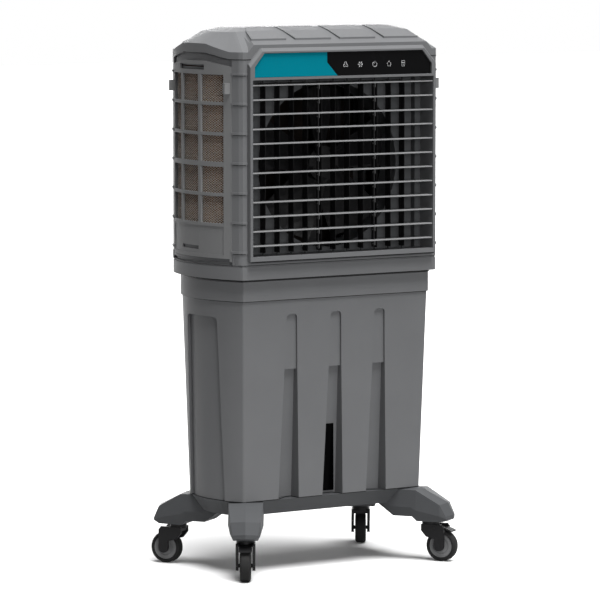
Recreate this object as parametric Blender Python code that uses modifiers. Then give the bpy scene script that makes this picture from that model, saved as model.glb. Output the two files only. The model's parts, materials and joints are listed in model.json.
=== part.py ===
"""Tower evaporative cooler on four casters.

Metres, +Z up. The origin is on the floor under the middle of the body. The air outlet faces -Y,
and wet pads close the other three sides of the hood. Each piece is one object.
"""

import math

import bmesh
import bpy
from mathutils import Matrix, Vector

# Fits
GAP = 0.0003
PIN_GAP = 0.0003
PANEL_GAP = 0.0005
OVERLAP = 0.004
CUT_PAST = 0.020

# Round pieces
PIN_SIDES = 8
SMALL_SIDES = 16
LARGE_SIDES = 40
SIDE_STEPS = 12
ROUND_STEPS = 4
CORNER = 0.011

# Casters
WHEEL_RADIUS = 0.0405
WHEEL_WIDTH = 0.028
WHEEL_RIM_BAND = 0.0095
WHEEL_RIM_DEPTH = 0.003
WHEEL_BOSS_WALL = 0.007
WHEEL_CROWN = 0.004
WHEEL_STEPS = 24
AXLE_RADIUS = 0.005
CASTER_TRAIL = 0.032
FORK_RISE = 0.0637
FORK_ARM = 0.0070
FORK_ARM_END = 0.0130
FORK_SIDE_GAP = 0.0035
FORK_HEAD_RADIUS = 0.022
FORK_HEAD_HEIGHT = 0.012
FORK_CROWN_DROP = 0.012
FORK_CROWN_REACH = 0.008
FORK_GUSSET_U = -0.004
FORK_GUSSET_DROP = 0.028
FORK_KNEE_RISE = 0.018
STEM_RADIUS = 0.006
STEM_LENGTH = 0.022
PEDAL_PIVOT_U = 0.018
PEDAL_PIVOT_DROP = 0.0160
PEDAL_LENGTH = 0.046
PEDAL_FALL = 0.009
PEDAL_THICKNESS = 0.0055
PEDAL_PIN = 0.0020
PEDAL_SIDE_GAP = 0.001

# Base
SWIVEL_OUT_X = 0.0159
SWIVEL_OUT_Y = 0.0320
LEG_ANGLE = math.radians(56.5)
LEG_HEIGHT = 0.0845
LEG_TIP = 0.064
LEG_SHOULDER = 0.038
LEG_SHOULDER_RISE = 0.0455
LEG_PAD_START = -0.025
LEG_HEEL = -0.038
LEG_HEEL_RISE = 0.0115
LEG_ARM_START = -0.090
LEG_ROOT = -0.135
LEG_ROOT_DROP = 0.002
LEG_TIP_LOW = 0.007
LEG_TIP_HIGH = 0.015
LEG_FOOT_HALF = 0.036
LEG_WAIST_HALF = 0.0450
LEG_TOP_HALF = 0.0435
LEG_SHOULDER_SHARE = 0.86
LEG_TIP_SHARE = 0.74
LEG_RIDGE = 0.003
LEG_NOSE = 0.010
LEG_WAIST_SHARE = 0.36
TRAY_DEPTH = 0.0390
TRAY_SLOPE = 0.030
TRAY_EDGE = 0.003
TRAY_RIM = 0.010
TRAY_PLATE = 0.006

# Tank
TANK_WALL_HEIGHT = 0.509
COLLAR_HEIGHT = 0.055
TANK_TAPER_X = 0.0115
TANK_TAPER_Y = 0.0170
TANK_BOW = 0.042
TANK_CORNER = 0.004
COLLAR_STEP = 0.004
TANK_WALL = 0.0045
TANK_FLOOR = 0.005
FLUTE_PITCH = 0.134
FLUTE_COUNT = 3
FLUTE_TOP_DROP = 0.038
FLUTE_UPPER_HEIGHT = 0.140
FLUTE_TOP_WIDTH = 0.031
FLUTE_STEP_WIDTH = 0.0387
FLUTE_FOOT_WIDTH = 0.062
FLUTE_UPPER_DEPTH = 0.006
FLUTE_STEP_DEPTH = 0.016
FLUTE_FOOT_DEPTH = 0.036
FLUTE_ROUND = 0.009
RECESS_DROP = 0.043
RECESS_TOP_HALF = 0.070
RECESS_FOOT_HALF = 0.080
RECESS_DEPTH = 0.008
RECESS_ROUND = 0.014
LEVEL_TOP_WIDTH = 0.027
LEVEL_FOOT_WIDTH = 0.050
LEVEL_LIFT = 0.007
LEVEL_HEIGHT = 0.174
LEVEL_THICKNESS = 0.0025
DRAIN_X = 0.120
DRAIN_LIFT = 0.039
DRAIN_RADIUS = 0.012
DRAIN_CAP_LIP = 0.005
DRAIN_CAP = 0.009
DRAIN_REACH = 0.008

# Hood
POST_WIDTH = 0.0125
HOOD_DEPTH = 0.332
HOOD_BOW = 0.042
HOOD_WALL = 0.014
HOOD_FLOOR = 0.004
HOOD_RIM = 0.004
SKIRT_HEIGHT = 0.0327
SKIRT_OVERHANG_X = 0.0145
SKIRT_OVERHANG_Y = 0.0210
SKIRT_GROOVE = 0.003
SKIRT_GROOVE_DEPTH = 0.002
DRIP_WIDTH = 0.400
DRIP_DEPTH = 0.180
RABBET = 0.0058
RABBET_LIFT = 0.005
SIDE_WINDOW_LAP = 0.0135
REAR_WINDOW_LAP = 0.012
WINDOW_SILL = 0.0072
WINDOW_HEAD = 0.0171
HEADER_LAP = 0.007
HEADER_IN = 0.001
RIB_LIFT = 0.0134
RIB_PITCH = 0.0740
RIB_HEIGHT = 0.006
RIB_REACH = 0.0025
GLAND_X = -0.200
GLAND_LIFT = 0.0167
GLAND_RADIUS = 0.011
GLAND_BORE = 0.0045
GLAND_REACH = 0.012

# Pad panels
SIDE_POST = 0.0305
REAR_POST = 0.044
PANEL_LIFT = 0.0078
PANEL_HEAD = 0.0127
PANEL_DROP = 0.0135
PANEL_FLAT_HALF = 0.050
BAR_LIFT = 0.0834
BAR_PITCH = 0.0757
BAR_COUNT = 6
BAR_HALF = 0.004
MIDDLE_BAR = 2
MIDDLE_BAR_HALF = 0.006
STILE_FRONT = 0.0235
STILE_REAR = 0.0095
MULLION = 0.011
SIDE_MULLIONS = (-0.0270, 0.0620)
REAR_COLUMNS = 6
GRIP_HALF = 0.0605
SIDE_GRIP_Y = 0.0145
GRIP_LIFT = 0.0073
GRIP_HEIGHT = 0.0133
NOTCH_HALF = 0.042
SIDE_NOTCH_Y = 0.022
NOTCH_LIFT = 0.0185
NOTCH_HEIGHT = 0.009
LUG_INSET = 0.0085
LUG_WIDTH = 0.009
LUG_DROP = 0.041
LUG_HEIGHT = 0.027
LUG_REACH = 0.014
SILL_LIFT = 0.016
SILL_DEPTH = 0.002
PAD_THICKNESS = 0.038
PAD_CLEAR = 0.003

# Lid
LID_SIDE_ARCH = 0.015
LID_BAND = 0.0188
LID_BAND_SIDE_RISE = 0.020
LID_BAND_FRONT_RISE = 0.018
LID_SHOULDER_RISE = 0.0665
LID_SHOULDER_IN_X = 0.033
LID_SHOULDER_IN_Y = 0.083
LID_SHOULDER_BOW = 0.020
LID_CROWN_RISE = 0.010
LID_CROWN_IN_X = 0.031
LID_CROWN_IN_Y = 0.038
LID_CROWN_BOW = 0.010
LID_WALL = 0.004
LID_FRONT_FLAT_IN = 0.032
LID_FRONT_END_IN = 0.016
LID_SIDE_FLAT = 0.050
LID_SIDE_END_IN = 0.036
WEDGE_PITCH = 0.135
WEDGE_COUNT = 4
WEDGE_LENGTH = 0.108
WEDGE_FRONT_IN = 0.026
WEDGE_BACK_IN = 0.005
WEDGE_FRONT_RISE = 0.0048
WEDGE_BACK_RISE = 0.0015

# Front frame
FRONT_REACH = 0.015
OUTLET_HALF = 0.274
OUTLET_FOOT = 0.011
BEZEL_LIFT = 0.0145
BEZEL_SIDE = 0.0075
BEZEL_CHAMFER = 0.0365
BEZEL_CHAMFER_RISE = 0.007
BEZEL_HEAD = 0.0125
BEZEL_BEVEL = 0.008
BEZEL_BEVEL_DEPTH = 0.0085
SLEEVE_WALL = 0.004
FASCIA_SIDE_IN = 0.006
FASCIA_LIFT = 0.0065
FASCIA_EDGE = 0.026
FASCIA_CHAMFER = 0.028
FASCIA_CHAMFER_RISE = 0.034
FASCIA_INSET = 0.0045
FASCIA_THICKNESS = 0.003
BOARD_SIDE_IN = 0.068
BOARD_WIDTH = 0.160
BOARD_LIFT = 0.0085
BOARD_HEIGHT = 0.037
BOARD_THICKNESS = 0.002
BOARD_BLOCK = 0.010

# Louvres and vanes
LOUVRE_COUNT = 12
LOUVRE_PITCH = 0.0364
LOUVRE_FIRST_LIFT = 0.0264
LOUVRE_TOP_GAP = 0.0132
LOUVRE_CHORD = 0.032
LOUVRE_THICKNESS = 0.0035
LOUVRE_NOSE = 0.0030
LOUVRE_FRONT_INSET = 0.002
LOUVRE_END_GAP = 0.0015
LOUVRE_PIN = 0.0020
LOUVRE_TILT = math.radians(30)
LINK_X = (-0.072, 0.098)
LINK_PIN_Y = -0.0045
LINK_PIN_Z = -0.009
LINK_PIN = 0.0014
LINK_THICKNESS = 0.0025
LINK_WIDTH = 0.006
LINK_END = 0.006
EAR_THICKNESS = 0.0024
EAR_WIDTH = 0.006
EAR_BELOW_PIN = 0.0035
LINK_SLOT_CLEAR = 0.001
LINK_SIDE_CLEAR = 0.0004
VANE_COUNT = 11
VANE_PITCH = 0.0423
VANE_SET_FORWARD = 0.0065
VANE_CHORD = 0.024
VANE_THICKNESS = 0.003
VANE_END_GAP = 0.005
VANE_TOP_GAP = 0.015
VANE_PIN = 0.0020
VANE_ARM = 0.009
VANE_LINK_HEIGHT = 0.003
VANE_LINK_LIFT = 0.002
SWING_MOTOR_SIZE = (0.040, 0.036, 0.024)

# Fan
FAN_SET_BACK = 0.035
FAN_RADIUS = 0.198
FAN_HUB_RADIUS = 0.045
FAN_HUB_LENGTH = 0.034
BLADE_COUNT = 5
BLADE_SINK = 0.009
BLADE_ROOT_CHORD = 0.075
BLADE_TIP_CHORD = 0.150
BLADE_ROOT_PITCH = math.radians(40)
BLADE_TIP_PITCH = math.radians(22)
BLADE_THICKNESS = 0.0032
BLADE_STATIONS = 5
BLADE_STEPS = 4
COWL_RIM_DEPTH = 0.0172
COWL_RIM_WALL = 0.003
COWL_PLATE = 0.003
COWL_SIDE_IN = 0.014
COWL_FLANGE_OUT = 0.011
COWL_FLANGE = 0.0024
COWL_HEAD_GAP = 0.0057
COWL_TIP_GAP = 0.012
COWL_WALL = 0.006
COWL_LENGTH = 0.070
SHAFT_RADIUS = 0.006
SHAFT_AHEAD = 0.010
SHAFT_IN_MOTOR = 0.020
BRACKET_THICKNESS = 0.004
BRACKET_ARM_HALF = 0.016
BRACKET_HUB = 0.060
BRACKET_BORE_GAP = 0.006
MOTOR_RADIUS = 0.052
MOTOR_LENGTH = 0.090
MOTOR_END = 0.014

# Water circuit
PUMP_X = 0.100
PUMP_Y = 0.045
PUMP_RADIUS = 0.038
PUMP_HEIGHT = 0.080
PUMP_OUTLET = 0.009
PUMP_OUTLET_HEIGHT = 0.015
HOSE_RADIUS = 0.008
HOSE_X = 0.150
HOSE_Y = 0.072
HOSE_BEND = 0.200
HOSE_ELBOW = 0.030
HOSE_STEPS = 8
TROUGH_LIFT = 0.0008
TROUGH_HEIGHT = 0.0125
TROUGH_WIDTH = 0.026
TROUGH_WALL = 0.003
TROUGH_BEHIND = 0.012

# Colours: linear red, green, blue, then roughness and metallic
BODY_GREY = ((0.138, 0.140, 0.145), 0.55, 0.0)
DARK_GREY = ((0.045, 0.046, 0.048), 0.6, 0.0)
BLACK = ((0.010, 0.010, 0.011), 0.5, 0.0)
PANEL_BLACK = ((0.006, 0.006, 0.007), 0.2, 0.0)
WINDOW_BLACK = ((0.004, 0.004, 0.005), 0.12, 0.0)
TYRE_BLACK = ((0.012, 0.012, 0.012), 0.75, 0.0)
PAD_BROWN = ((0.190, 0.105, 0.055), 0.9, 0.0)
STEEL = ((0.420, 0.430, 0.440), 0.35, 1.0)
BOARD_GREEN = ((0.020, 0.120, 0.050), 0.5, 0.0)
HOSE_BLUE = ((0.030, 0.070, 0.120), 0.5, 0.0)

# Widths and depths. A plan is the front width, the depth and how far each side bows out.
BEZEL_HALF = OUTLET_HALF + BEZEL_SIDE
BEZEL_TOP_HALF = BEZEL_HALF - BEZEL_CHAMFER
FASCIA_HALF = OUTLET_HALF - FASCIA_SIDE_IN
FASCIA_TOP_HALF = FASCIA_HALF - FASCIA_CHAMFER
HOOD_HALF = BEZEL_HALF + POST_WIDTH
HOOD_BACK = HOOD_DEPTH / 2
HOOD_FRONT = -HOOD_BACK
HOOD_PLAN = (2 * HOOD_HALF, HOOD_DEPTH, HOOD_BOW)
COLLAR_HALF = HOOD_HALF - SKIRT_OVERHANG_X
COLLAR_BACK = HOOD_BACK - SKIRT_OVERHANG_Y
FOOT_HALF = COLLAR_HALF - TANK_TAPER_X
FOOT_BACK = COLLAR_BACK - TANK_TAPER_Y
TANK_TOP_PLAN = (2 * COLLAR_HALF, 2 * COLLAR_BACK, TANK_BOW)
TANK_FOOT_PLAN = (2 * FOOT_HALF, 2 * FOOT_BACK, TANK_BOW)
SHOULDER_HALF = HOOD_HALF - LID_SHOULDER_IN_X
SHOULDER_BACK = HOOD_BACK - LID_SHOULDER_IN_Y
CROWN_HALF = SHOULDER_HALF - LID_CROWN_IN_X
CROWN_BACK = SHOULDER_BACK - LID_CROWN_IN_Y
LID_SHOULDER_PLAN = (2 * SHOULDER_HALF, 2 * SHOULDER_BACK, LID_SHOULDER_BOW)
LID_TOP_PLAN = (2 * CROWN_HALF, 2 * CROWN_BACK, LID_CROWN_BOW)
LID_FRONT_FLAT = HOOD_HALF - LID_FRONT_FLAT_IN
LID_FRONT_END = HOOD_HALF - LID_FRONT_END_IN
LID_SIDE_END = HOOD_BACK - LID_SIDE_END_IN
WEDGE_FRONT_Y = HOOD_FRONT + WEDGE_FRONT_IN
WEDGE_BACK_Y = -CROWN_BACK + WEDGE_BACK_IN
SIDE_PANEL_HALF = HOOD_BACK - SIDE_POST
SIDE_WINDOW_HALF = SIDE_PANEL_HALF - SIDE_WINDOW_LAP
REAR_PANEL_HALF = HOOD_HALF - REAR_POST
REAR_WINDOW_HALF = REAR_PANEL_HALF - REAR_WINDOW_LAP
LUG_Y = SIDE_PANEL_HALF - LUG_INSET
SWIVEL_X = FOOT_HALF + SWIVEL_OUT_X
SWIVEL_Y = FOOT_BACK + SWIVEL_OUT_Y
PANEL_DEPTH = RABBET - GAP
FRONT_FACE = HOOD_FRONT - FRONT_REACH
LOUVRE_PIVOT_Y = FRONT_FACE + LOUVRE_FRONT_INSET + LOUVRE_CHORD / 2
LOUVRE_HALF = OUTLET_HALF - LOUVRE_END_GAP
SLEEVE_END = -SIDE_WINDOW_HALF - PANEL_GAP
VANE_PIVOT_Y = SLEEVE_END - VANE_SET_FORWARD
COWL_HALF = OUTLET_HALF - COWL_SIDE_IN
COWL_FLANGE_HALF = OUTLET_HALF + COWL_FLANGE_OUT
COWL_RIM_FRONT = SLEEVE_END + GAP
COWL_FRONT = COWL_RIM_FRONT + COWL_RIM_DEPTH
COWL_END = COWL_FRONT + COWL_LENGTH
COWL_RADIUS = FAN_RADIUS + COWL_TIP_GAP
FAN_Y = COWL_FRONT + FAN_SET_BACK
SHAFT_FRONT = FAN_Y - SHAFT_AHEAD
BRACKET_FRONT = COWL_END + GAP
MOTOR_FRONT = BRACKET_FRONT + BRACKET_THICKNESS + GAP
TROUGH_FRONT = COWL_FRONT + COWL_PLATE + TROUGH_BEHIND
BOARD_HIGH_X = FASCIA_HALF - BOARD_SIDE_IN
BOARD_LOW_X = BOARD_HIGH_X - BOARD_WIDTH
WHEEL_RIM = WHEEL_RADIUS - WHEEL_RIM_BAND
WHEEL_BOSS = AXLE_RADIUS + WHEEL_BOSS_WALL
DRAIN_CAP_RADIUS = DRAIN_RADIUS + DRAIN_CAP_LIP
FORK_INNER = WHEEL_WIDTH / 2 + FORK_SIDE_GAP
FORK_OUTER = FORK_INNER + FORK_ARM

# Heights, from the floor up
FORK_TOP = WHEEL_RADIUS + FORK_RISE
CASTER_HEIGHT = FORK_TOP + GAP
FORK_HEAD_LOW = FORK_TOP - FORK_HEAD_HEIGHT
PEDAL_PIVOT_Z = FORK_TOP - PEDAL_PIVOT_DROP
LEG_SHOULDER_Z = CASTER_HEIGHT + LEG_SHOULDER_RISE
TANK_BOTTOM = CASTER_HEIGHT + LEG_HEIGHT
TRAY_BOTTOM = TANK_BOTTOM - TRAY_DEPTH
LEG_ROOT_Z = TRAY_BOTTOM - LEG_ROOT_DROP
LEVEL_BOTTOM = TANK_BOTTOM + LEVEL_LIFT
LEVEL_TOP = LEVEL_BOTTOM + LEVEL_HEIGHT
DRAIN_Z = TANK_BOTTOM + DRAIN_LIFT
PUMP_BASE = TANK_BOTTOM + TANK_FLOOR + GAP
TANK_WALL_TOP = TANK_BOTTOM + TANK_WALL_HEIGHT
TANK_TOP = TANK_WALL_TOP + COLLAR_HEIGHT
FLUTE_TOP = TANK_WALL_TOP - FLUTE_TOP_DROP
FLUTE_STEP = FLUTE_TOP - FLUTE_UPPER_HEIGHT
RECESS_TOP = TANK_WALL_TOP - RECESS_DROP
HOOD_BOTTOM = TANK_TOP + GAP
GLAND_Z = HOOD_BOTTOM + GLAND_LIFT
SKIRT_TOP = HOOD_BOTTOM + SKIRT_HEIGHT
RABBET_BOTTOM = SKIRT_TOP + RABBET_LIFT
PANEL_BOTTOM = RABBET_BOTTOM + PANEL_LIFT
WINDOW_BOTTOM = PANEL_BOTTOM + WINDOW_SILL
RIB_BOTTOM = WINDOW_BOTTOM + RIB_LIFT
SILL_BOTTOM = PANEL_BOTTOM + SILL_LIFT
NOTCH_BOTTOM = WINDOW_BOTTOM + NOTCH_LIFT
NOTCH_TOP = NOTCH_BOTTOM + NOTCH_HEIGHT
BAR_BOTTOM_Z = WINDOW_BOTTOM + BAR_LIFT
BAR_TOP_Z = BAR_BOTTOM_Z + (BAR_COUNT - 1) * BAR_PITCH
SILL_TOP = BAR_BOTTOM_Z - BAR_HALF
WINDOW_TOP = BAR_TOP_Z + WINDOW_HEAD
LUG_TOP = WINDOW_TOP - LUG_DROP
LUG_BOTTOM = LUG_TOP - LUG_HEIGHT
GRIP_BOTTOM = BAR_TOP_Z + GRIP_LIFT
GRIP_TOP = GRIP_BOTTOM + GRIP_HEIGHT
PANEL_TOP = WINDOW_TOP + PANEL_HEAD
HOOD_TOP = PANEL_TOP + HOOD_RIM
COWL_TOP = HOOD_TOP - COWL_HEAD_GAP
TROUGH_LOW = WINDOW_TOP + TROUGH_LIFT
LID_EDGE = HOOD_TOP + GAP
LID_SHOULDER_Z = LID_EDGE + LID_SHOULDER_RISE
LID_TOP = LID_SHOULDER_Z + LID_CROWN_RISE
BEZEL_BOTTOM = SKIRT_TOP + BEZEL_LIFT
OUTLET_BOTTOM = BEZEL_BOTTOM + OUTLET_FOOT
LOUVRE_FIRST_Z = OUTLET_BOTTOM + LOUVRE_FIRST_LIFT
OUTLET_TOP = LOUVRE_FIRST_Z + (LOUVRE_COUNT - 1) * LOUVRE_PITCH + LOUVRE_TOP_GAP
VANE_LOW = OUTLET_BOTTOM + VANE_END_GAP
VANE_HIGH = OUTLET_TOP - VANE_TOP_GAP
VANE_LINK_LOW = VANE_HIGH + VANE_LINK_LIFT
FASCIA_BOTTOM = OUTLET_TOP + FASCIA_LIFT
FASCIA_CHAMFER_Z = FASCIA_BOTTOM + FASCIA_EDGE
FASCIA_TOP = FASCIA_CHAMFER_Z + FASCIA_CHAMFER_RISE
BEZEL_CHAMFER_Z = FASCIA_CHAMFER_Z + BEZEL_CHAMFER_RISE
BEZEL_TOP = FASCIA_TOP + BEZEL_HEAD
BOARD_LOW_Z = OUTLET_TOP + BOARD_LIFT
BOARD_HIGH_Z = BOARD_LOW_Z + BOARD_HEIGHT
FAN_Z = (OUTLET_BOTTOM + OUTLET_TOP) / 2

CORNERS = {"front_left": (-1, -1), "front_right": (1, -1), "rear_left": (-1, 1), "rear_right": (1, 1)}
BRAKED = ("front_left", "front_right")

for old in list(bpy.data.objects):
    bpy.data.objects.remove(old, do_unlink=True)

PARTS = bpy.data.collections.new("evaporative_cooler")
CUTTERS = bpy.data.collections.new("cutters")
bpy.context.scene.collection.children.link(PARTS)
bpy.context.scene.collection.children.link(CUTTERS)


# Modelling helpers

def lerp(low, high, share):
    return low + (high - low) * share


def steps(low, high, count):
    """Evenly spaced values from low to high, both included."""
    return [lerp(low, high, i / count) for i in range(count + 1)]


def material(name, look):
    colour, roughness, metallic = look
    made = bpy.data.materials.new(name)
    made.use_nodes = True
    shader = made.node_tree.nodes["Principled BSDF"]
    shader.inputs["Base Color"].default_value = (*colour, 1)
    shader.inputs["Roughness"].default_value = roughness
    shader.inputs["Metallic"].default_value = metallic
    made.diffuse_color = (*colour, 1)
    return made


def shade(mesh):
    mesh.shade_smooth()
    mesh.set_sharp_from_angle(angle=math.radians(32))


def piece(name, shape, look):
    """A part of the object from a bmesh or from a mesh that several parts share."""
    mesh = shape
    if isinstance(shape, bmesh.types.BMesh):
        mesh = mesh_from(name, shape)
    obj = bpy.data.objects.new(name, mesh)
    PARTS.objects.link(obj)
    if not mesh.materials:
        mesh.materials.append(material(name, look))
    return obj


def mesh_from(name, bm):
    bmesh.ops.recalc_face_normals(bm, faces=bm.faces)
    mesh = bpy.data.meshes.new(name)
    bm.to_mesh(mesh)
    bm.free()
    shade(mesh)
    return mesh


def helper(name, bm):
    """A hidden shape that is cut from a part or joined to it."""
    obj = bpy.data.objects.new(name, mesh_from(name, bm))
    CUTTERS.objects.link(obj)
    obj.hide_render = True
    obj.display_type = "WIRE"
    return obj


def boolean(obj, other, operation="DIFFERENCE"):
    modifier = obj.modifiers.new(other.name, "BOOLEAN")
    modifier.operation = operation
    modifier.object = other
    modifier.solver = "EXACT"


def join(obj, other):
    boolean(obj, other, "UNION")


def baked(obj, look):
    """The finished mesh of a helper, for the parts that share it."""
    bpy.context.view_layer.update()
    graph = bpy.context.evaluated_depsgraph_get()
    mesh = bpy.data.meshes.new_from_object(obj.evaluated_get(graph))
    mesh.name = obj.name
    mesh.materials.clear()
    mesh.materials.append(material(obj.name, look))
    shade(mesh)
    return mesh


def add_loft(bm, rings):
    """A skin through rings of equal length, closed by a face at each end."""
    loops = [[bm.verts.new(point) for point in ring] for ring in rings]
    for lower, upper in zip(loops, loops[1:]):
        for i in range(len(lower)):
            j = (i + 1) % len(lower)
            bm.faces.new((lower[i], lower[j], upper[j], upper[i]))
    bm.faces.new(loops[0][::-1])
    bm.faces.new(loops[-1])


def add_box(bm, low, high):
    size = [b - a for a, b in zip(low, high)]
    middle = [(a + b) / 2 for a, b in zip(low, high)]
    place = Matrix.Translation(middle) @ Matrix.Diagonal((*size, 1))
    bmesh.ops.create_cube(bm, size=1, matrix=place)


def add_rod(bm, start, end, radius, sides=PIN_SIDES):
    start = Vector(start)
    end = Vector(end)
    turn = (end - start).to_track_quat("Z", "Y").to_matrix().to_4x4()
    place = Matrix.Translation((start + end) / 2) @ turn
    depth = (end - start).length
    bmesh.ops.create_cone(
        bm, cap_ends=True, segments=sides, radius1=radius, radius2=radius, depth=depth, matrix=place
    )


def loft(rings):
    bm = bmesh.new()
    add_loft(bm, rings)
    return bm


def box(low, high):
    bm = bmesh.new()
    add_box(bm, low, high)
    return bm


def rod(start, end, radius, sides=SMALL_SIDES):
    bm = bmesh.new()
    add_rod(bm, start, end, radius, sides)
    return bm


def along_y(outline, y):
    """An outline of x and z, set at y."""
    return [(x, y, z) for x, z in outline]


def along_z(outline, z):
    """An outline of x and y, set at z."""
    return [(x, y, z) for x, y in outline]


def turned(name, profile, step_count, closed=False):
    """A profile of radius and height turned about Z."""
    bm = bmesh.new()
    points = [bm.verts.new((radius, 0, height)) for radius, height in profile]
    ends = points[1:] + points[:1] if closed else points[1:]
    for a, b in zip(points, ends):
        bm.edges.new((a, b))
    mesh = bpy.data.meshes.new(name)
    bm.to_mesh(mesh)
    bm.free()
    obj = bpy.data.objects.new(name, mesh)
    screw = obj.modifiers.new("turn", "SCREW")
    screw.axis = "Z"
    screw.steps = step_count
    screw.render_steps = step_count
    screw.use_merge_vertices = True
    screw.merge_threshold = 0.0001
    screw.use_smooth_shade = False
    return obj


def turned_mesh(name, profile, step_count, look, closed=False):
    """The mesh of a turned piece, with its faces outward."""
    obj = turned(name, profile, step_count, closed)
    CUTTERS.objects.link(obj)
    mesh = baked(obj, look)
    bpy.data.objects.remove(obj)
    bm = bmesh.new()
    bm.from_mesh(mesh)
    bmesh.ops.recalc_face_normals(bm, faces=bm.faces)
    bm.to_mesh(mesh)
    bm.free()
    shade(mesh)
    return mesh


# Plan of the body: straight front and back, bowed sides

def side_circle(plan):
    """Centre and radius of the circle that the right side follows."""
    width, depth, bow = plan
    radius = ((depth / 2) ** 2 + bow ** 2) / (2 * bow)
    return width / 2 + bow - radius, radius


def side_x(plan, y, inset=0.0):
    centre, radius = side_circle(plan)
    return centre + math.sqrt((radius - inset) ** 2 - y ** 2)


def plan_outline(plan, inset=0.0, stations=(), corner=CORNER):
    """The plan moved in by inset, anticlockwise, with extra points on the front and back."""
    depth = plan[1] / 2 - inset
    reach = depth - corner
    sharp = side_x(plan, depth, inset)
    edge = sharp - corner
    side = [(side_x(plan, y, inset), y) for y in steps(-reach, reach, SIDE_STEPS)]
    turn_x = edge / 4 + sharp / 2 + side[0][0] / 4
    turn_y = depth * 3 / 4 + reach / 4
    right = [(edge, -depth), (turn_x, -turn_y)] + side + [(turn_x, turn_y), (edge, depth)]
    left = [(-x, y) for x, y in reversed(right)]
    across = sorted(stations) + [-x for x in sorted(stations)]
    across.sort()
    back = [(x, depth) for x in reversed(across)]
    front = [(x, -depth) for x in across]
    return right + back + left + front


def hood_ring(z, inset=0.0):
    return along_z(plan_outline(HOOD_PLAN, inset), z)


def hood_core(name, inset):
    """The inside of the hood's plan, to keep a cut from going deeper than inset."""
    levels = (HOOD_BOTTOM - CUT_PAST, HOOD_TOP + 2 * CUT_PAST)
    return helper(name, loft([hood_ring(z, inset) for z in levels]))


# Tank

def tank_plan(z):
    share = (min(z, TANK_WALL_TOP) - TANK_BOTTOM) / (TANK_WALL_TOP - TANK_BOTTOM)
    return [lerp(low, high, share) for low, high in zip(TANK_FOOT_PLAN, TANK_TOP_PLAN)]


def tank_front(z):
    return -tank_plan(z)[1] / 2


def tank_ring(z, inset=0.0):
    return along_z(plan_outline(tank_plan(z), inset, corner=TANK_CORNER), z)


def flute_share(z):
    return (z - TANK_BOTTOM) / (FLUTE_STEP - TANK_BOTTOM)


def flute_depth(z):
    return lerp(FLUTE_FOOT_DEPTH, FLUTE_STEP_DEPTH, flute_share(z))


def round_top(top, width, radius):
    """Heights and widths round the two upper corners of a slot."""
    levels = []
    for angle in steps(0, math.pi / 2, ROUND_STEPS):
        levels.append((top - radius * (1 - math.sin(angle)), width - 2 * radius * (1 - math.cos(angle))))
    return levels


def flute_ring(x, z, width, depth, grow):
    front = tank_front(z)
    half = width / 2 + grow
    back = front + depth + grow
    before = front - CUT_PAST
    return along_z([(x - half, before), (x + half, before), (x + half, back), (x - half, back)], z)


def flute_cutters(name, grow):
    """The deep lower and shallow upper part of the three front flutes."""
    lower = bmesh.new()
    upper = bmesh.new()
    low = TANK_BOTTOM - CUT_PAST
    high = FLUTE_STEP + grow
    for i in range(FLUTE_COUNT):
        x = (i - (FLUTE_COUNT - 1) / 2) * FLUTE_PITCH
        foot = lerp(FLUTE_FOOT_WIDTH, FLUTE_STEP_WIDTH, flute_share(low))
        add_loft(lower, [
            flute_ring(x, low, foot, flute_depth(low), grow),
            flute_ring(x, high, FLUTE_STEP_WIDTH, flute_depth(high), grow),
        ])
        levels = [(FLUTE_STEP - OVERLAP, FLUTE_STEP_WIDTH)]
        levels += round_top(FLUTE_TOP + grow, FLUTE_TOP_WIDTH, FLUTE_ROUND)
        add_loft(upper, [flute_ring(x, z, width, FLUTE_UPPER_DEPTH, grow) for z, width in levels])
    return helper(name + "_lower", lower), helper(name + "_upper", upper)


def recess_cutter(name, grow):
    """The shallow panels in both sides of the tank."""
    reach = HOOD_PLAN[0]
    low = TANK_BOTTOM - CUT_PAST
    levels = [(low, 2 * RECESS_FOOT_HALF)] + round_top(RECESS_TOP + grow, 2 * RECESS_TOP_HALF, RECESS_ROUND)
    rings = []
    for z, width in levels:
        half = width / 2 + grow
        rings.append(along_z([(-reach, -half), (reach, -half), (reach, half), (-reach, half)], z))
    cutter = helper(name, loft(rings))
    inset = RECESS_DEPTH + grow
    core = helper(name + "_core", loft([tank_ring(low - CUT_PAST, inset), tank_ring(TANK_TOP, inset)]))
    boolean(cutter, core)
    return cutter


def make_tank():
    rings = [tank_ring(TANK_BOTTOM), tank_ring(TANK_WALL_TOP)]
    rings += [tank_ring(z, -COLLAR_STEP) for z in (TANK_WALL_TOP, TANK_TOP)]
    tank = piece("tank", loft(rings), BODY_GREY)
    levels = (TANK_BOTTOM + TANK_FLOOR, TANK_WALL_TOP, TANK_TOP + CUT_PAST)
    cavity = helper("tank_cavity", loft([tank_ring(z, TANK_WALL) for z in levels]))
    for cutter in flute_cutters("flute_backing", TANK_WALL):
        boolean(cavity, cutter)
    boolean(cavity, recess_cutter("recess_backing", TANK_WALL))
    for cutter in flute_cutters("flute", 0.0):
        boolean(tank, cutter)
    boolean(tank, recess_cutter("side_recess", 0.0))
    boolean(tank, cavity)
    back = -tank_front(DRAIN_Z)
    inner = (DRAIN_X, back - CUT_PAST, DRAIN_Z)
    outer = (DRAIN_X, back + CUT_PAST, DRAIN_Z)
    boolean(tank, helper("drain_hole", rod(inner, outer, DRAIN_RADIUS + PIN_GAP)))


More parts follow.
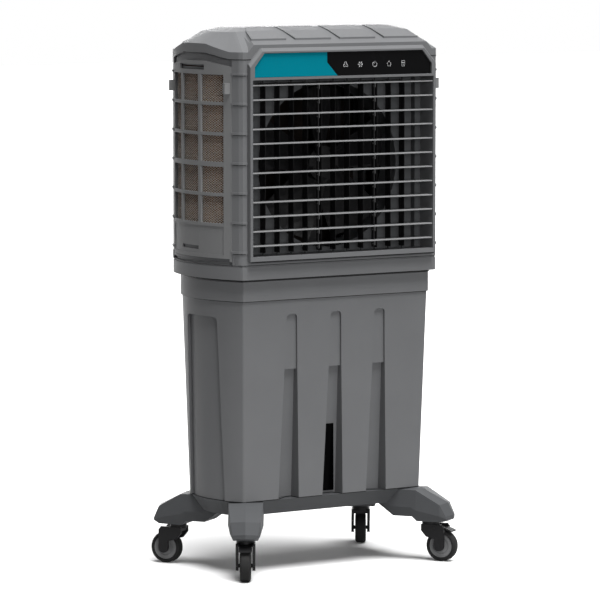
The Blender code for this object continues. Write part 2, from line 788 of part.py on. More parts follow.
def make_level_window():
    """A dark strip on the back of the middle flute."""
    rings = []
    for z, width in ((LEVEL_BOTTOM, LEVEL_FOOT_WIDTH), (LEVEL_TOP, LEVEL_TOP_WIDTH)):
        half = width / 2
        back = tank_front(z) + flute_depth(z) - GAP
        front = back - LEVEL_THICKNESS
        rings.append(along_z([(-half, front), (half, front), (half, back), (-half, back)], z))
    piece("level_window", loft(rings), WINDOW_BLACK)


def make_drain_plug():
    """A turned plug whose cap closes on the back wall."""
    seat = -tank_front(DRAIN_Z) + DRAIN_CAP_RADIUS * abs(tank_slope()) + GAP
    profile = [
        (0, DRAIN_CAP),
        (DRAIN_CAP_RADIUS, DRAIN_CAP),
        (DRAIN_CAP_RADIUS, 0),
        (DRAIN_RADIUS, 0),
        (DRAIN_RADIUS, -DRAIN_REACH),
        (0, -DRAIN_REACH),
    ]
    plug = piece("drain_plug", turned_mesh("drain_plug", profile, SMALL_SIDES, BLACK), BLACK)
    plug.location = (DRAIN_X, seat, DRAIN_Z)
    plug.rotation_euler = (-math.pi / 2, 0, 0)


def tank_slope():
    """How far the front and back walls lean out for each metre of height."""
    return (TANK_TOP_PLAN[1] - TANK_FOOT_PLAN[1]) / 2 / (TANK_WALL_TOP - TANK_BOTTOM)


# Base and casters

def leg_ring(u, low, high, share, nose=0.0):
    """A cross-section of a leg, at u along it, with a low ridge on top and a keel of nose in its middle."""
    foot = LEG_FOOT_HALF * share
    waist = LEG_WAIST_HALF * share
    top = LEG_TOP_HALF * share
    middle = lerp(low, high, LEG_WAIST_SHARE)
    section = [
        (0, low),
        (foot, low),
        (waist, middle),
        (top, high),
        (0, high + LEG_RIDGE),
        (-top, high),
        (-waist, middle),
        (-foot, low),
    ]
    return [(u + nose * (1 - abs(v) / waist), v, z) for v, z in section]


def leg_shape(place):
    """A leg whose outer end is two faces that meet in its keel."""
    top = TANK_BOTTOM - GAP - LEG_RIDGE
    arm = CASTER_HEIGHT + LEG_HEEL_RISE
    tip_low = CASTER_HEIGHT + LEG_TIP_LOW
    tip_high = CASTER_HEIGHT + LEG_TIP_HIGH
    stations = [
        leg_ring(LEG_ROOT, LEG_ROOT_Z, top, 1),
        leg_ring(LEG_ARM_START, arm, top, 1),
        leg_ring(LEG_HEEL, arm, top, 1),
        leg_ring(LEG_PAD_START, CASTER_HEIGHT, top, 1),
        leg_ring(LEG_SHOULDER, CASTER_HEIGHT, LEG_SHOULDER_Z, LEG_SHOULDER_SHARE, LEG_NOSE),
        leg_ring(LEG_TIP - LEG_NOSE, tip_low, tip_high, LEG_TIP_SHARE, LEG_NOSE),
    ]
    leg = loft([[place @ Vector(point) for point in ring] for ring in stations])
    leg.faces.ensure_lookup_table()
    end = leg.faces[-1]
    keel = [end.verts[0], end.verts[4]]
    bmesh.utils.face_split(end, *keel)
    return leg


def corner_place(corner):
    """The swivel axis of a caster, turned so that local X points out along the leg."""
    side, end = CORNERS[corner]
    place = Matrix.Translation((side * SWIVEL_X, end * SWIVEL_Y, 0))
    out = math.atan2(end * math.sin(LEG_ANGLE), side * math.cos(LEG_ANGLE))
    return place @ Matrix.Rotation(out, 4, "Z")


def tray_ring(z, inset):
    return along_z(plan_outline(tank_plan(TANK_BOTTOM), inset, corner=TANK_CORNER), z)


def make_base():
    """A tray under the tank and four splayed legs, each with a socket for its caster's stem."""
    top = TANK_BOTTOM - GAP
    rings = [tray_ring(TRAY_BOTTOM, TRAY_SLOPE), tray_ring(top, TRAY_EDGE)]
    base = piece("base_chassis", loft(rings), BODY_GREY)
    inset = TRAY_SLOPE + TRAY_RIM
    pocket = [tray_ring(TRAY_BOTTOM - CUT_PAST, inset), tray_ring(top - TRAY_PLATE, inset)]
    boolean(base, helper("tray_pocket", loft(pocket)))
    sockets = bmesh.new()
    for corner in CORNERS:
        place = corner_place(corner)
        join(base, helper("leg_" + corner, leg_shape(place)))
        low = place @ Vector((0, 0, CASTER_HEIGHT - CUT_PAST))
        deep = place @ Vector((0, 0, CASTER_HEIGHT + STEM_LENGTH + GAP))
        add_rod(sockets, low, deep, STEM_RADIUS + PIN_GAP, SMALL_SIDES)
    boolean(base, helper("stem_sockets", sockets))


def fork_arm_outline():
    """Side view of an arm: an upright bar with a round end at the axle, and a gusset to the head."""
    end = []
    for angle in steps(-math.pi, 0, 8):
        u = CASTER_TRAIL + FORK_ARM_END * math.cos(angle)
        end.append((u, WHEEL_RADIUS + FORK_ARM_END * math.sin(angle)))
    head = FORK_HEAD_LOW + OVERLAP
    back = -FORK_HEAD_RADIUS * 0.8
    return end + [
        (CASTER_TRAIL + FORK_ARM_END, PEDAL_PIVOT_Z),
        (CASTER_TRAIL + FORK_ARM_END / 2, head),
        (back, head),
        (back, FORK_HEAD_LOW - FORK_CROWN_DROP),
        (FORK_GUSSET_U, FORK_HEAD_LOW - FORK_GUSSET_DROP),
        (CASTER_TRAIL - FORK_ARM_END, WHEEL_RADIUS + FORK_KNEE_RISE),
    ]


def make_fork_mesh():
    """Swivel head with its stem, two arms and the axle between them."""
    head = rod((0, 0, FORK_HEAD_LOW), (0, 0, FORK_TOP), FORK_HEAD_RADIUS, LARGE_SIDES // 2)
    fork = helper("caster_fork", head)
    stem = rod((0, 0, FORK_HEAD_LOW + OVERLAP), (0, 0, FORK_TOP + STEM_LENGTH), STEM_RADIUS)
    join(fork, helper("fork_stem", stem))
    crown_low = FORK_HEAD_LOW - FORK_CROWN_DROP
    crown = box(
        (-FORK_HEAD_RADIUS * 0.7, -FORK_OUTER + FORK_ARM / 2, crown_low + OVERLAP),
        (FORK_CROWN_REACH, FORK_OUTER - FORK_ARM / 2, FORK_HEAD_LOW + OVERLAP / 2),
    )
    join(fork, helper("fork_crown", crown))
    for side in (-1, 1):
        outline = fork_arm_outline()
        arm = loft([along_y(outline, side * FORK_INNER), along_y(outline, side * FORK_OUTER)])
        join(fork, helper("fork_arm", arm))
    reach = FORK_OUTER - FORK_ARM / 3
    axle = rod((CASTER_TRAIL, -reach, WHEEL_RADIUS), (CASTER_TRAIL, reach, WHEEL_RADIUS), AXLE_RADIUS)
    join(fork, helper("fork_axle", axle))
    return baked(fork, BLACK)


def make_braked_fork_mesh(plain):
    """The same fork with a cross hole in its arms for the brake pedal's pin."""
    fork = bpy.data.objects.new("braked_fork", plain.copy())
    CUTTERS.objects.link(fork)
    fork.hide_render = True
    hole = rod(
        (PEDAL_PIVOT_U, -FORK_OUTER - OVERLAP, PEDAL_PIVOT_Z),
        (PEDAL_PIVOT_U, FORK_OUTER + OVERLAP, PEDAL_PIVOT_Z),
        PEDAL_PIN + PIN_GAP,
    )
    boolean(fork, helper("pedal_hole", hole))
    return baked(fork, BLACK)


def make_pedal_mesh():
    """A bent lever over the wheel, with the pin that it turns on."""
    half = FORK_INNER - PEDAL_SIDE_GAP
    thick = PEDAL_THICKNESS / 2
    bend = PEDAL_LENGTH * 0.6
    outline = [
        (-thick, -thick),
        (bend * 0.5, -thick),
        (bend, -thick - PEDAL_FALL * 0.3),
        (PEDAL_LENGTH, -thick * 0.4 - PEDAL_FALL),
        (PEDAL_LENGTH, thick * 0.6 - PEDAL_FALL),
        (bend, thick - PEDAL_FALL * 0.3),
        (bend * 0.5, thick),
        (-thick, thick),
    ]
    pedal = helper("brake_pedal", loft([along_y(outline, -half), along_y(outline, half)]))
    reach = FORK_OUTER
    join(pedal, helper("pedal_pin", rod((0, -reach, 0), (0, reach, 0), PEDAL_PIN)))
    return baked(pedal, BLACK)


def wheel_profile():
    """Half section of the wheel: bore, boss, sunk hub disc, rim and a rounded tread."""
    half = WHEEL_WIDTH / 2
    sunk = half - WHEEL_RIM_DEPTH
    upper = [
        (AXLE_RADIUS + PIN_GAP, half),
        (WHEEL_BOSS, half),
        (WHEEL_BOSS, sunk),
        (WHEEL_RIM, sunk),
        (WHEEL_RIM, half),
        (WHEEL_RADIUS - WHEEL_CROWN, half),
        (WHEEL_RADIUS, half - WHEEL_CROWN),
    ]
    return upper + [(radius, -height) for radius, height in reversed(upper)]


def make_casters():
    plain = make_fork_mesh()
    braked = make_braked_fork_mesh(plain)
    pedal_mesh = make_pedal_mesh()
    wheel_mesh = turned_mesh("caster_wheel", wheel_profile(), WHEEL_STEPS, TYRE_BLACK, closed=True)
    for corner in CORNERS:
        swivel = bpy.data.objects.new("swivel_" + corner, None)
        PARTS.objects.link(swivel)
        swivel.matrix_world = corner_place(corner)
        fork = piece("caster_fork_" + corner, braked if corner in BRAKED else plain, BLACK)
        fork.parent = swivel
        wheel = piece("caster_wheel_" + corner, wheel_mesh, TYRE_BLACK)
        wheel.parent = swivel
        wheel.location = (CASTER_TRAIL, 0, WHEEL_RADIUS)
        wheel.rotation_euler = (math.pi / 2, 0, 0)
        if corner in BRAKED:
            pedal = piece("brake_pedal_" + corner, pedal_mesh, BLACK)
            pedal.parent = swivel
            pedal.location = (PEDAL_PIVOT_U, 0, PEDAL_PIVOT_Z)


# Hood

def rabbet_cutter(name, low, high, core_inset):
    """A pocket of even depth below the hood's outer face."""
    cutter = helper(name, box(low, high))
    boolean(cutter, hood_core(name + "_core", core_inset))
    return cutter


def header_shape(side):
    """A wall on the side rail that follows the lid's arch and closes the gap behind it."""
    ys = steps(-SIDE_WINDOW_HALF, SIDE_WINDOW_HALF, SIDE_STEPS)
    outline = [(side * side_x(HOOD_PLAN, y, RABBET + HEADER_IN), y) for y in ys]
    outline += [(side * side_x(HOOD_PLAN, y, HOOD_WALL - HEADER_IN), y) for y in reversed(ys)]
    upper = []
    for x, y in outline:
        arch = LID_SIDE_ARCH * ramp(y, LID_SIDE_FLAT, LID_SIDE_END)
        upper.append((x, y, HOOD_TOP + HEADER_LAP + arch))
    return loft([along_z(outline, HOOD_TOP - OVERLAP), upper])


def make_hood():
    """Skirt, floor, four corner posts and rails, open on all sides and on top."""
    groove = SKIRT_TOP + SKIRT_GROOVE
    rings = [
        hood_ring(HOOD_BOTTOM),
        hood_ring(SKIRT_TOP),
        hood_ring(SKIRT_TOP, SKIRT_GROOVE_DEPTH),
        hood_ring(groove, SKIRT_GROOVE_DEPTH),
        hood_ring(groove),
        hood_ring(HOOD_TOP),
    ]
    hood = piece("hood_body", loft(rings), BODY_GREY)
    ribs = bmesh.new()
    for i in range(BAR_COUNT + 1):
        z = RIB_BOTTOM + i * RIB_PITCH
        add_loft(ribs, [hood_ring(level, -RIB_REACH) for level in (z, z + RIB_HEIGHT)])
    ribs = helper("post_ribs", ribs)
    across = BEZEL_HALF + PANEL_GAP
    behind = (across, HOOD_FRONT, HOOD_TOP)
    front = helper("rib_front", box((-across, HOOD_FRONT - CUT_PAST, HOOD_BOTTOM), behind))
    boolean(ribs, front)
    join(hood, ribs)
    boss = rod(
        (GLAND_X, HOOD_BACK - OVERLAP, GLAND_Z), (GLAND_X, HOOD_BACK + GLAND_REACH, GLAND_Z), GLAND_RADIUS
    )
    join(hood, helper("gland_boss", boss))
    cavity = [hood_ring(z, HOOD_WALL) for z in (HOOD_BOTTOM + HOOD_FLOOR, HOOD_TOP + CUT_PAST)]
    boolean(hood, helper("hood_cavity", loft(cavity)))
    drip = box(
        (-DRIP_WIDTH / 2, -DRIP_DEPTH / 2, HOOD_BOTTOM - CUT_PAST),
        (DRIP_WIDTH / 2, DRIP_DEPTH / 2, HOOD_BOTTOM + CUT_PAST),
    )
    boolean(hood, helper("drip_opening", drip))
    reach = HOOD_PLAN[0]
    above = HOOD_TOP + CUT_PAST
    side = SIDE_PANEL_HALF + PANEL_GAP
    boolean(hood, rabbet_cutter("side_rabbet", (-reach, -side, RABBET_BOTTOM), (reach, side, above), RABBET))
    window = box(
        (-reach, -SIDE_WINDOW_HALF, WINDOW_BOTTOM), (reach, SIDE_WINDOW_HALF, WINDOW_TOP)
    )
    boolean(hood, helper("side_window", window))
    rear = REAR_PANEL_HALF + PANEL_GAP
    boolean(hood, rabbet_cutter("rear_rabbet", (-rear, 0, RABBET_BOTTOM), (rear, reach, above), RABBET))
    window = box((-REAR_WINDOW_HALF, 0, WINDOW_BOTTOM), (REAR_WINDOW_HALF, reach, WINDOW_TOP))
    boolean(hood, helper("rear_window", window))
    sleeve = SLEEVE_WALL + GAP
    half = OUTLET_HALF + sleeve
    window = box((-half, -reach, OUTLET_BOTTOM - sleeve), (half, 0, OUTLET_TOP + sleeve))
    boolean(hood, helper("front_window", window))
    for side in (-1, 1):
        join(hood, helper("side_header", header_shape(side)))
    bore = rod(
        (GLAND_X, HOOD_BACK, GLAND_Z), (GLAND_X, HOOD_BACK + GLAND_REACH + CUT_PAST, GLAND_Z), GLAND_BORE
    )
    boolean(hood, helper("gland_bore", bore))


def panel_top(y, flat, end):
    """The arched top edge of a pad panel."""
    share = min(max((end - abs(y)) / (end - flat), 0), 1)
    return PANEL_TOP - PANEL_DROP * (1 - share)


def row_spans():
    """The heights of the rows of openings between the bars."""
    bars = []
    for i in range(BAR_COUNT):
        half = MIDDLE_BAR_HALF if i == MIDDLE_BAR else BAR_HALF
        z = BAR_BOTTOM_Z + i * BAR_PITCH
        bars.append((z - half, z + half))
    return [(low[1], high[0]) for low, high in zip(bars, bars[1:])]


def side_columns():
    """The front-to-back spans of the three columns of openings."""
    edges = [-SIDE_PANEL_HALF + STILE_FRONT]
    for y in SIDE_MULLIONS:
        edges += [y - MULLION / 2, y + MULLION / 2]
    edges.append(SIDE_PANEL_HALF - STILE_REAR)
    return list(zip(edges[::2], edges[1::2]))


def rear_columns():
    low = -REAR_PANEL_HALF + STILE_FRONT
    width = -2 * low
    opening = (width - MULLION * (REAR_COLUMNS - 1)) / REAR_COLUMNS
    starts = [low + i * (opening + MULLION) for i in range(REAR_COLUMNS)]
    return [(start, start + opening) for start in starts]


def make_side_panel(name, side):
    """A bowed lattice panel with two clips and a finger slot, on the left (-1) or right (1)."""
    ys = steps(-SIDE_PANEL_HALF, SIDE_PANEL_HALF, SIDE_STEPS)
    outline = [(side * side_x(HOOD_PLAN, y), y) for y in ys]
    outline += [(side * side_x(HOOD_PLAN, y, PANEL_DEPTH), y) for y in reversed(ys)]
    upper = [(x, y, panel_top(y, PANEL_FLAT_HALF, SIDE_PANEL_HALF)) for x, y in outline]
    panel = piece(name, loft([along_z(outline, PANEL_BOTTOM), upper]), BODY_GREY)
    reach = side * HOOD_PLAN[0]
    lugs = bmesh.new()
    for y in (-LUG_Y, LUG_Y):
        surface = side_x(HOOD_PLAN, y)
        xs = sorted((side * (surface - OVERLAP), side * (surface + LUG_REACH)))
        add_box(lugs, (xs[0], y - LUG_WIDTH / 2, LUG_BOTTOM), (xs[1], y + LUG_WIDTH / 2, LUG_TOP))
    join(panel, helper(name + "_lugs", lugs))
    cuts = bmesh.new()
    xs = sorted((0, reach))
    for z_low, z_high in row_spans():
        for y_low, y_high in side_columns():
            add_box(cuts, (xs[0], y_low, z_low), (xs[1], y_high, z_high))
    for y, half, low, high in (
        (SIDE_GRIP_Y, GRIP_HALF, GRIP_BOTTOM, GRIP_TOP),
        (SIDE_NOTCH_Y, NOTCH_HALF, NOTCH_BOTTOM, NOTCH_TOP),
    ):
        add_box(cuts, (xs[0], y - half, low), (xs[1], y + half, high))
    boolean(panel, helper(name + "_openings", cuts))
    columns = side_columns()
    low = (xs[0], columns[0][0], SILL_BOTTOM)
    high = (xs[1], columns[-1][1], SILL_TOP)
    boolean(panel, rabbet_cutter(name + "_sill", low, high, SILL_DEPTH))


def make_side_pad(name, side):
    """A wet pad behind a side panel, small enough to come out through the window with it."""
    half = SIDE_WINDOW_HALF - PAD_CLEAR
    ys = steps(-half, half, SIDE_STEPS)
    outline = [(side * side_x(HOOD_PLAN, y, RABBET), y) for y in ys]
    outline += [(side * side_x(HOOD_PLAN, y, RABBET + PAD_THICKNESS), y) for y in reversed(ys)]
    levels = (WINDOW_BOTTOM + PAD_CLEAR, WINDOW_TOP - PAD_CLEAR)
    piece(name, loft([along_z(outline, z) for z in levels]), PAD_BROWN)


def make_rear_panel():
    xs = [-REAR_PANEL_HALF, -PANEL_FLAT_HALF, PANEL_FLAT_HALF, REAR_PANEL_HALF]
    top = [(x, panel_top(x, PANEL_FLAT_HALF, REAR_PANEL_HALF)) for x in reversed(xs)]
    outline = [(-REAR_PANEL_HALF, PANEL_BOTTOM), (REAR_PANEL_HALF, PANEL_BOTTOM)] + top
    plate = loft([along_y(outline, HOOD_BACK - PANEL_DEPTH), along_y(outline, HOOD_BACK)])
    panel = piece("rear_pad_grille", plate, BODY_GREY)
    cuts = bmesh.new()
    past = HOOD_BACK + CUT_PAST
    for z_low, z_high in row_spans():
        for x_low, x_high in rear_columns():
            add_box(cuts, (x_low, 0, z_low), (x_high, past, z_high))
    add_box(cuts, (-GRIP_HALF, 0, GRIP_BOTTOM), (GRIP_HALF, past, GRIP_TOP))
    add_box(cuts, (-NOTCH_HALF, 0, NOTCH_BOTTOM), (NOTCH_HALF, past, NOTCH_TOP))
    boolean(panel, helper("rear_openings", cuts))
    columns = rear_columns()
    sill = box((columns[0][0], HOOD_BACK - SILL_DEPTH, SILL_BOTTOM), (columns[-1][1], past, SILL_TOP))
    boolean(panel, helper("rear_sill", sill))
    half = REAR_WINDOW_HALF - PAD_CLEAR
    outer = HOOD_BACK - RABBET
    low = (-half, outer - PAD_THICKNESS, WINDOW_BOTTOM + PAD_CLEAR)
    pad = box(low, (half, outer, WINDOW_TOP - PAD_CLEAR))
    piece("rear_cooling_pad", pad, PAD_BROWN)


# Lid

def ramp(value, flat, end):
    """1 up to flat, falling to 0 at end."""
    return min(max((end - abs(value)) / (end - flat), 0), 1)


def lid_ring(plan, inset, low, side_rise, front_rise):
    """A ring of the lid whose edge rises along the sides and along the front and back."""
    points = []
    edge = plan[1] / 2 - inset - CORNER / 2
    for x, y in plan_outline(plan, inset, (LID_FRONT_FLAT, LID_FRONT_END)):
        if abs(y) < edge:
            rise = side_rise * ramp(y, LID_SIDE_FLAT, LID_SIDE_END)
        else:
            rise = front_rise * ramp(x, LID_FRONT_FLAT, LID_FRONT_END)
        points.append((x, y, low + rise))
    return points


def lid_upper_ring(plan, z, inset=0.0):
    """A level ring; its front points keep their share of the wider edge below."""
    share = (plan[0] / 2) / (HOOD_PLAN[0] / 2)
    stations = (LID_FRONT_FLAT * share, LID_FRONT_END * share)
    return along_z(plan_outline(plan, inset, stations), z)


def lid_front_line(y, edge, shoulder, crown):
    """A value at y, given its values at the lid's front edge, shoulder and crown."""
    if y < -SHOULDER_BACK:
        return lerp(edge, shoulder, (y - HOOD_FRONT) / LID_SHOULDER_IN_Y)
    return lerp(shoulder, crown, min((y + SHOULDER_BACK) / LID_CROWN_IN_Y, 1))


def lid_front_z(y):
    """Height of the lid's front slopes at y."""
    return lid_front_line(y, LID_EDGE + LID_BAND + LID_BAND_FRONT_RISE, LID_SHOULDER_Z, LID_TOP)


def lid_flat_half(y):
    """Half the width of the level part of the front slopes at y."""
    shoulder = LID_FRONT_FLAT * SHOULDER_HALF / HOOD_HALF
    return lid_front_line(y, LID_FRONT_FLAT, shoulder, LID_FRONT_FLAT * CROWN_HALF / HOOD_HALF)


def wedge_ring(x):
    """A raised panel's cross-section, thickest at its front edge."""
    lower = []
    upper = []
    for y in sorted((WEDGE_FRONT_Y, -SHOULDER_BACK, -CROWN_BACK, WEDGE_BACK_Y)):
        share = (y - WEDGE_FRONT_Y) / (WEDGE_BACK_Y - WEDGE_FRONT_Y)
        end = math.copysign(min(abs(x), lid_flat_half(y)), x)
        surface = lid_front_z(y)
        lower.insert(0, (end, y, surface - LID_WALL / 2))
        upper.append((end, y, surface + lerp(WEDGE_FRONT_RISE, WEDGE_BACK_RISE, share)))
    return lower + upper


def make_lid():
    """A faceted shell with raised side arches and four raised panels on its front slope."""
    wall = LID_WALL
    band = LID_EDGE + LID_BAND
    rings = [
        lid_upper_ring(LID_TOP_PLAN, LID_TOP - wall),
        lid_upper_ring(LID_SHOULDER_PLAN, LID_SHOULDER_Z - wall),
        lid_ring(HOOD_PLAN, wall, band - wall, LID_BAND_SIDE_RISE, LID_BAND_FRONT_RISE),
        lid_ring(HOOD_PLAN, wall, LID_EDGE, LID_SIDE_ARCH, 0),
        lid_ring(HOOD_PLAN, 0, LID_EDGE, LID_SIDE_ARCH, 0),
        lid_ring(HOOD_PLAN, 0, band, LID_BAND_SIDE_RISE, LID_BAND_FRONT_RISE),
        lid_upper_ring(LID_SHOULDER_PLAN, LID_SHOULDER_Z),
        lid_upper_ring(LID_TOP_PLAN, LID_TOP),
    ]
    lid = piece("top_cover", loft(rings), BODY_GREY)
    wedges = bmesh.new()
    for i in range(WEDGE_COUNT):
        x = (i - (WEDGE_COUNT - 1) / 2) * WEDGE_PITCH
        add_loft(wedges, [wedge_ring(x - WEDGE_LENGTH / 2), wedge_ring(x + WEDGE_LENGTH / 2)])
    join(lid, helper("lid_wedges", wedges))


# Front frame

def chamfered(half, bottom, chamfer_z, top, top_half, grow=0.0):
    """Front view with the two upper corners cut off."""
    right = [(half + grow, bottom - grow), (half + grow, chamfer_z), (top_half, top + grow)]
    return right + [(-x, z) for x, z in reversed(right)]


def bezel_outline(drop):
    return chamfered(BEZEL_HALF, BEZEL_BOTTOM, BEZEL_CHAMFER_Z - drop, BEZEL_TOP - drop, BEZEL_TOP_HALF)


def fascia_outline(grow=0.0):
    return chamfered(FASCIA_HALF, FASCIA_BOTTOM, FASCIA_CHAMFER_Z, FASCIA_TOP, FASCIA_TOP_HALF, grow)


def louvre_z(i):
    return LOUVRE_FIRST_Z + i * LOUVRE_PITCH


def vane_x(i):
    return (i - (VANE_COUNT - 1) / 2) * VANE_PITCH


def make_bezel():
    """Frame round the outlet: a front plate, a pocket for the fascia and a sleeve with pivot holes."""
    back = HOOD_FRONT - GAP
    front_outline = bezel_outline(BEZEL_BEVEL)
    full = bezel_outline(0.0)
    bevel_start = FRONT_FACE + BEZEL_BEVEL_DEPTH
    rings = [along_y(front_outline, FRONT_FACE), along_y(full, bevel_start), along_y(full, back)]
    bezel = piece("grille_bezel", loft(rings), BODY_GREY)
    half = OUTLET_HALF + SLEEVE_WALL
    sleeve = box(
        (-half, back - OVERLAP, OUTLET_BOTTOM - SLEEVE_WALL), (half, SLEEVE_END, OUTLET_TOP + SLEEVE_WALL)
    )
    join(bezel, helper("bezel_sleeve", sleeve))
    outlet = box(
        (-OUTLET_HALF, FRONT_FACE - CUT_PAST, OUTLET_BOTTOM),
        (OUTLET_HALF, SLEEVE_END + CUT_PAST, OUTLET_TOP),
    )
    boolean(bezel, helper("outlet", outlet))
    pocket_back = FRONT_FACE + FASCIA_INSET + FASCIA_THICKNESS + GAP
    outline = fascia_outline(PANEL_GAP)
    pocket = loft([along_y(outline, FRONT_FACE - CUT_PAST), along_y(outline, pocket_back)])
    boolean(bezel, helper("fascia_pocket", pocket))
    holes = bmesh.new()
    reach = OUTLET_HALF + SLEEVE_WALL + CUT_PAST
    for i in range(LOUVRE_COUNT):
        z = louvre_z(i)
        add_rod(holes, (-reach, LOUVRE_PIVOT_Y, z), (reach, LOUVRE_PIVOT_Y, z), LOUVRE_PIN + PIN_GAP)
    for i in range(VANE_COUNT):
        low = (vane_x(i), VANE_PIVOT_Y, OUTLET_BOTTOM - SLEEVE_WALL - OVERLAP)
        high = (vane_x(i), VANE_PIVOT_Y, OUTLET_TOP + SLEEVE_WALL + OVERLAP)
        add_rod(holes, low, high, VANE_PIN + PIN_GAP)
    boolean(bezel, helper("pivot_holes", holes))


def make_fascia():
    front = FRONT_FACE + FASCIA_INSET
    outline = fascia_outline()
    shape = loft([along_y(outline, front), along_y(outline, front + FASCIA_THICKNESS)])
    piece("control_fascia", shape, PANEL_BLACK)


def make_control_board():
    """Circuit board on the inner face of the hood's front rail."""
    front = HOOD_FRONT + HOOD_WALL + GAP
    back = front + BOARD_THICKNESS
    plate = box((BOARD_LOW_X, front, BOARD_LOW_Z), (BOARD_HIGH_X, back, BOARD_HIGH_Z))
    board = piece("control_board", plate, BOARD_GREEN)
    blocks = bmesh.new()
    for share in (0.2, 0.5, 0.75):
        x = lerp(BOARD_LOW_X, BOARD_HIGH_X, share)
        low = (x, back - BOARD_THICKNESS / 2, BOARD_LOW_Z + BOARD_BLOCK / 2)
        add_box(blocks, low, (x + BOARD_BLOCK * 2, back + BOARD_BLOCK, BOARD_HIGH_Z - BOARD_BLOCK))
    join(board, helper("board_blocks", blocks))


# Louvres and vanes

def make_louvre_mesh():
    """A blade with a thin nose, end pins, and an ear and pin below it for each link rod."""
    half = LOUVRE_THICKNESS / 2
    chord = LOUVRE_CHORD / 2
    outline = [
        (-chord, -half * 0.6),
        (-chord + LOUVRE_NOSE, -half),
        (chord - LOUVRE_NOSE, -half),
        (chord, -half * 0.4),
        (chord, half * 0.4),
        (chord - LOUVRE_NOSE, half),
        (-chord + LOUVRE_NOSE, half),
        (-chord, half * 0.6),
    ]
    rings = [[(x, y, z) for y, z in outline] for x in (-LOUVRE_HALF, LOUVRE_HALF)]
    louvre = helper("louvre", loft(rings))
    reach = OUTLET_HALF + SLEEVE_WALL * 0.6
    for side in (-1, 1):
        pin = rod((side * (LOUVRE_HALF - OVERLAP), 0, 0), (side * reach, 0, 0), LOUVRE_PIN * 0.85, PIN_SIDES)
        join(louvre, helper("louvre_pin", pin))
    swing = abs(LINK_PIN_Z) * math.tan(LOUVRE_TILT) + LINK_WIDTH / 2 / math.cos(LOUVRE_TILT)
    swing += LINK_SLOT_CLEAR
    near = LINK_THICKNESS / 2 + LINK_SIDE_CLEAR
    slots = bmesh.new()
    for x in LINK_X:
        low = (x - near - LINK_SIDE_CLEAR, LINK_PIN_Y - swing, -CUT_PAST)
        add_box(slots, low, (x + near, LINK_PIN_Y + swing, CUT_PAST))
    boolean(louvre, helper("louvre_slots", slots))
    for x in LINK_X:
        ear_start = x + near
        ear = box(
            (ear_start, LINK_PIN_Y - EAR_WIDTH / 2, LINK_PIN_Z - EAR_BELOW_PIN),
            (ear_start + EAR_THICKNESS, LINK_PIN_Y + EAR_WIDTH / 2, 0),
        )
        join(louvre, helper("louvre_ear", ear))
        pin = rod(
            (x - LINK_THICKNESS, LINK_PIN_Y, LINK_PIN_Z),
            (ear_start + EAR_THICKNESS / 2, LINK_PIN_Y, LINK_PIN_Z),
            LINK_PIN,
            PIN_SIDES,
        )
        join(louvre, helper("louvre_ear_pin", pin))
    return baked(louvre, BODY_GREY)


def make_louvres():
    mesh = make_louvre_mesh()
    for i in range(LOUVRE_COUNT):
        louvre = piece(f"louvre_{i + 1:02d}", mesh, BODY_GREY)
        louvre.location = (0, LOUVRE_PIVOT_Y, louvre_z(i))


def make_louvre_links():
    """Upright rods through slots in the louvres, one pin hole for each louvre."""
    y = LOUVRE_PIVOT_Y + LINK_PIN_Y
    low = louvre_z(0) + LINK_PIN_Z
    high = louvre_z(LOUVRE_COUNT - 1) + LINK_PIN_Z
    for name, x in zip(("louvre_link_left", "louvre_link_right"), LINK_X):
        half = LINK_THICKNESS / 2
        bar = box(
            (-half, -LINK_WIDTH / 2, -LINK_END), (half, LINK_WIDTH / 2, high - low + LINK_END)
        )
        link = piece(name, bar, BLACK)
        link.location = (x, y, low)
        holes = bmesh.new()
        for i in range(LOUVRE_COUNT):
            z = i * LOUVRE_PITCH
            add_rod(holes, (-CUT_PAST, 0, z), (CUT_PAST, 0, z), LINK_PIN + PIN_GAP)
        cutter = helper(name + "_holes", holes)
        cutter.location = link.location
        boolean(link, cutter)


def make_vane_mesh():
    """An upright blade with a pivot pin at each end and a link pin behind the upper one."""
    half = VANE_THICKNESS / 2
    chord = VANE_CHORD / 2
    edge = half * 0.4
    right = [(edge, -chord), (half, 0), (edge, chord)]
    outline = right + [(-x, y) for x, y in reversed(right)]
    vane = helper("vane", loft([along_z(outline, VANE_LOW), along_z(outline, VANE_HIGH)]))
    reach = SLEEVE_WALL * 0.7
    low = rod((0, 0, OUTLET_BOTTOM - reach), (0, 0, VANE_LOW + OVERLAP), VANE_PIN * 0.9, PIN_SIDES)
    join(vane, helper("vane_low_pin", low))
    high = rod((0, 0, VANE_HIGH - OVERLAP), (0, 0, OUTLET_TOP + reach), VANE_PIN * 0.9, PIN_SIDES)
    join(vane, helper("vane_high_pin", high))
    top = VANE_LINK_LOW + VANE_LINK_HEIGHT + VANE_LINK_LIFT
    arm = rod((0, VANE_ARM, VANE_HIGH - OVERLAP), (0, VANE_ARM, top), LINK_PIN, PIN_SIDES)
    join(vane, helper("vane_arm_pin", arm))
    return baked(vane, BLACK)


def make_vanes():
    mesh = make_vane_mesh()
    for i in range(VANE_COUNT):
        vane = piece(f"vane_{i + 1:02d}", mesh, BLACK)
        vane.location = (vane_x(i), VANE_PIVOT_Y, 0)


